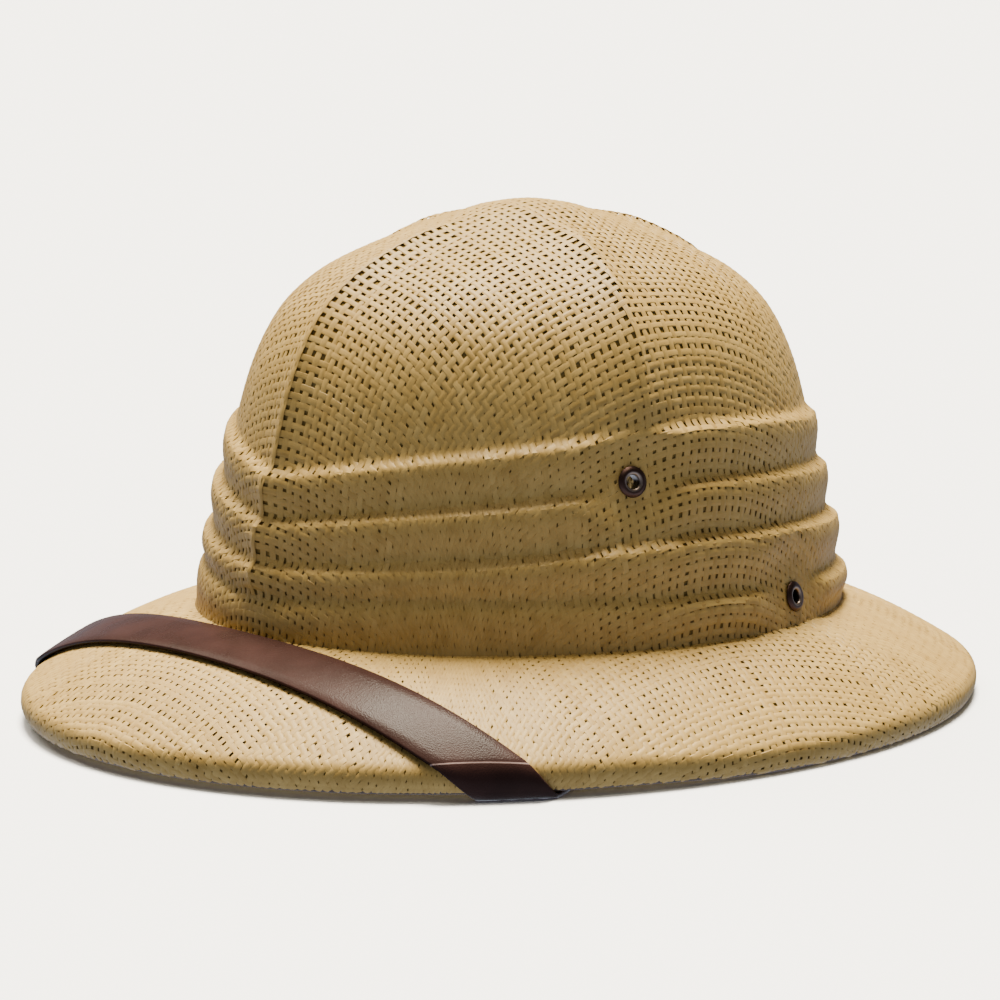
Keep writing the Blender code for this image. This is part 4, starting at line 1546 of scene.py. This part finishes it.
@dataclass
class Studio:
    """Pale floor, soft overhead light and the camera at the photograph's angle."""
    azimuth: float = radians(50)
    elevation: float = radians(12)
    distance: float = 2.0
    focal_pixels: float = 5860.0
    centre_x: float = 504.5
    centre_y: float = 694.0
    target_height: float = 0.0015
    clip: tuple = (0.05, 60.0)
    floor_half: float = 15.0
    floor_colour: str = "#f1f5fc"
    light_colour: str = "#fff3dc"
    sky_colour: str = "#e6eeff"
    softboxes: tuple = (
        ("overhead_softbox", 18.5, radians(24), radians(19), 0.0),
        ("front_softbox", 1.3, radians(40), radians(-5), 0.0),
        ("back_softbox", 2.0, radians(30), radians(46), radians(40)))
    sky_strength: float = 0.08
    horizon_strength: float = 0.58
    bounce_strength: float = 2.2
    low_band: tuple = (-0.5, -0.1)
    high_band: tuple = (0.1, 0.4)

    def build_camera(self) -> None:
        """Stand the camera where the photograph's was and turn it to the middle of the picture."""
        back = Vector((sin(self.azimuth) * cos(self.elevation), -cos(self.azimuth) * cos(self.elevation),
                       sin(self.elevation)))
        data = bpy.data.cameras.new("photograph_camera")
        data.sensor_width = SENSOR
        data.lens = SENSOR * self.focal_pixels / IMAGE_SIZE
        data.clip_start, data.clip_end = self.clip
        camera = place_object("photograph_camera", data)
        pitch = math.atan((self.centre_y - IMAGE_SIZE / 2) / self.focal_pixels)
        yaw = math.atan((self.centre_x - IMAGE_SIZE / 2) / self.focal_pixels)
        turn = back.to_track_quat("Z", "Y").to_matrix().to_4x4()
        turn = turn @ Matrix.Rotation(yaw, 4, "Y") @ Matrix.Rotation(pitch, 4, "X")
        place = back * self.distance + Vector((0, 0, self.target_height))
        camera.matrix_world = Matrix.Translation(place) @ turn
        bpy.context.scene.camera = camera

    def build_floor(self) -> None:
        """Lay the floor."""
        mesh = bpy.data.meshes.new("studio_floor")
        with edited(mesh) as bm:
            bmesh.ops.create_grid(bm, x_segments=4, y_segments=4, size=self.floor_half)
        material, _, _ = new_material("matt_white_floor", Base_Color=linear(self.floor_colour), Roughness=0.9,
                                      Specular_IOR_Level=0.1)
        floor = add_object("studio_floor", mesh, material)
        floor.visible_diffuse = False
        floor.visible_glossy = False
        floor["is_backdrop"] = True

    def hang_softbox(self, name: str, strength: float, width: float, tilt: float, turn: float) -> None:
        """Hang one soft light.

        Args:
            name: Name of the light.
            strength: Its light on a surface that faces it.
            width: Angle that it spans.
            tilt: How far it hangs from straight overhead, away from the camera.
            turn: How far it stands round the hat from straight behind it.
        """
        sun = bpy.data.lights.new(name, "SUN")
        sun.energy = strength
        sun.angle = width
        sun.color = linear(self.light_colour)[:3]
        around = self.azimuth + turn
        towards = Vector((-sin(around) * sin(tilt), cos(around) * sin(tilt), cos(tilt)))
        place_object(name, sun).rotation_euler = towards.to_track_quat("Z", "Y").to_euler()

    def build_light(self) -> None:
        """Hang the softboxes and let the room give light back, most strongly from below in place of the
        floor.
        """
        for softbox in self.softboxes:
            self.hang_softbox(*softbox)
        world = bpy.data.worlds.new("studio")
        world.use_nodes = True
        tree = world.node_tree
        towards = add_node(tree, "TexCoord").outputs["Generated"]
        height = add_node(tree, "SeparateXYZ", {"Vector": towards}).outputs[2]
        lower = add_range(tree, height, *self.low_band, self.bounce_strength - self.horizon_strength, 0.0)
        upper = add_range(tree, height, *self.high_band, self.horizon_strength, self.sky_strength)
        background = tree.nodes["Background"]
        background.inputs["Color"].default_value = linear(self.sky_colour)
        tree.links.new(add_math(tree, "ADD", lower, upper), background.inputs["Strength"])
        bpy.context.scene.world = world

    def build(self) -> None:
        """Set up the whole studio."""
        self.build_camera()
        self.build_floor()
        self.build_light()


def dress(piece: Object, node: str) -> None:
    """Let a finished piece stand for its CAD node.

    Args:
        piece: The piece.
        node: CAD node that it replaces.
    """
    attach(piece, "root")
    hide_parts(node)
    log.info("%s: %d faces, for %s", piece.name, len(piece.data.polygons), node)


def main() -> list:
    """Build the hat over its frame.

    Returns:
        The CAD model's box.
    """
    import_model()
    cad_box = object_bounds()
    Studio().build()
    form = HatForm()
    metal = AntiqueMetal().material()
    eyelets = [VentEyelet(f"vent_{level}_{side}", f"eyelet_{level}_{side}")
               for level in ("upper", "lower") for side in ("left", "right")]
    for eyelet in eyelets:
        dress(eyelet.build(metal), eyelet.node)
    straw = PaperStraw()
    hood = WovenHood(form, StrawNet(form), eyelets)
    yarn = straw.yarn_material()
    for zone in Zone:
        for piece in hood.build_yarns(zone, yarn):
            dress(piece, "straw_shell")
    dress(hood.build_inside(straw.shaded_material(), straw.lining_material()), "straw_shell")
    leatherette = Leatherette()
    dress(RimBinding(form).build(leatherette.binding_material()), "brim_binding")
    lower_left = next(e for e in eyelets if e.node == "eyelet_lower_left")
    dress(ChinStrap(form).build(lower_left, leatherette), "chin_strap")
    return cad_box


if __name__ == "__main__":
    logging.basicConfig(level=logging.INFO, format="%(name)s: %(message)s")
    box = main()
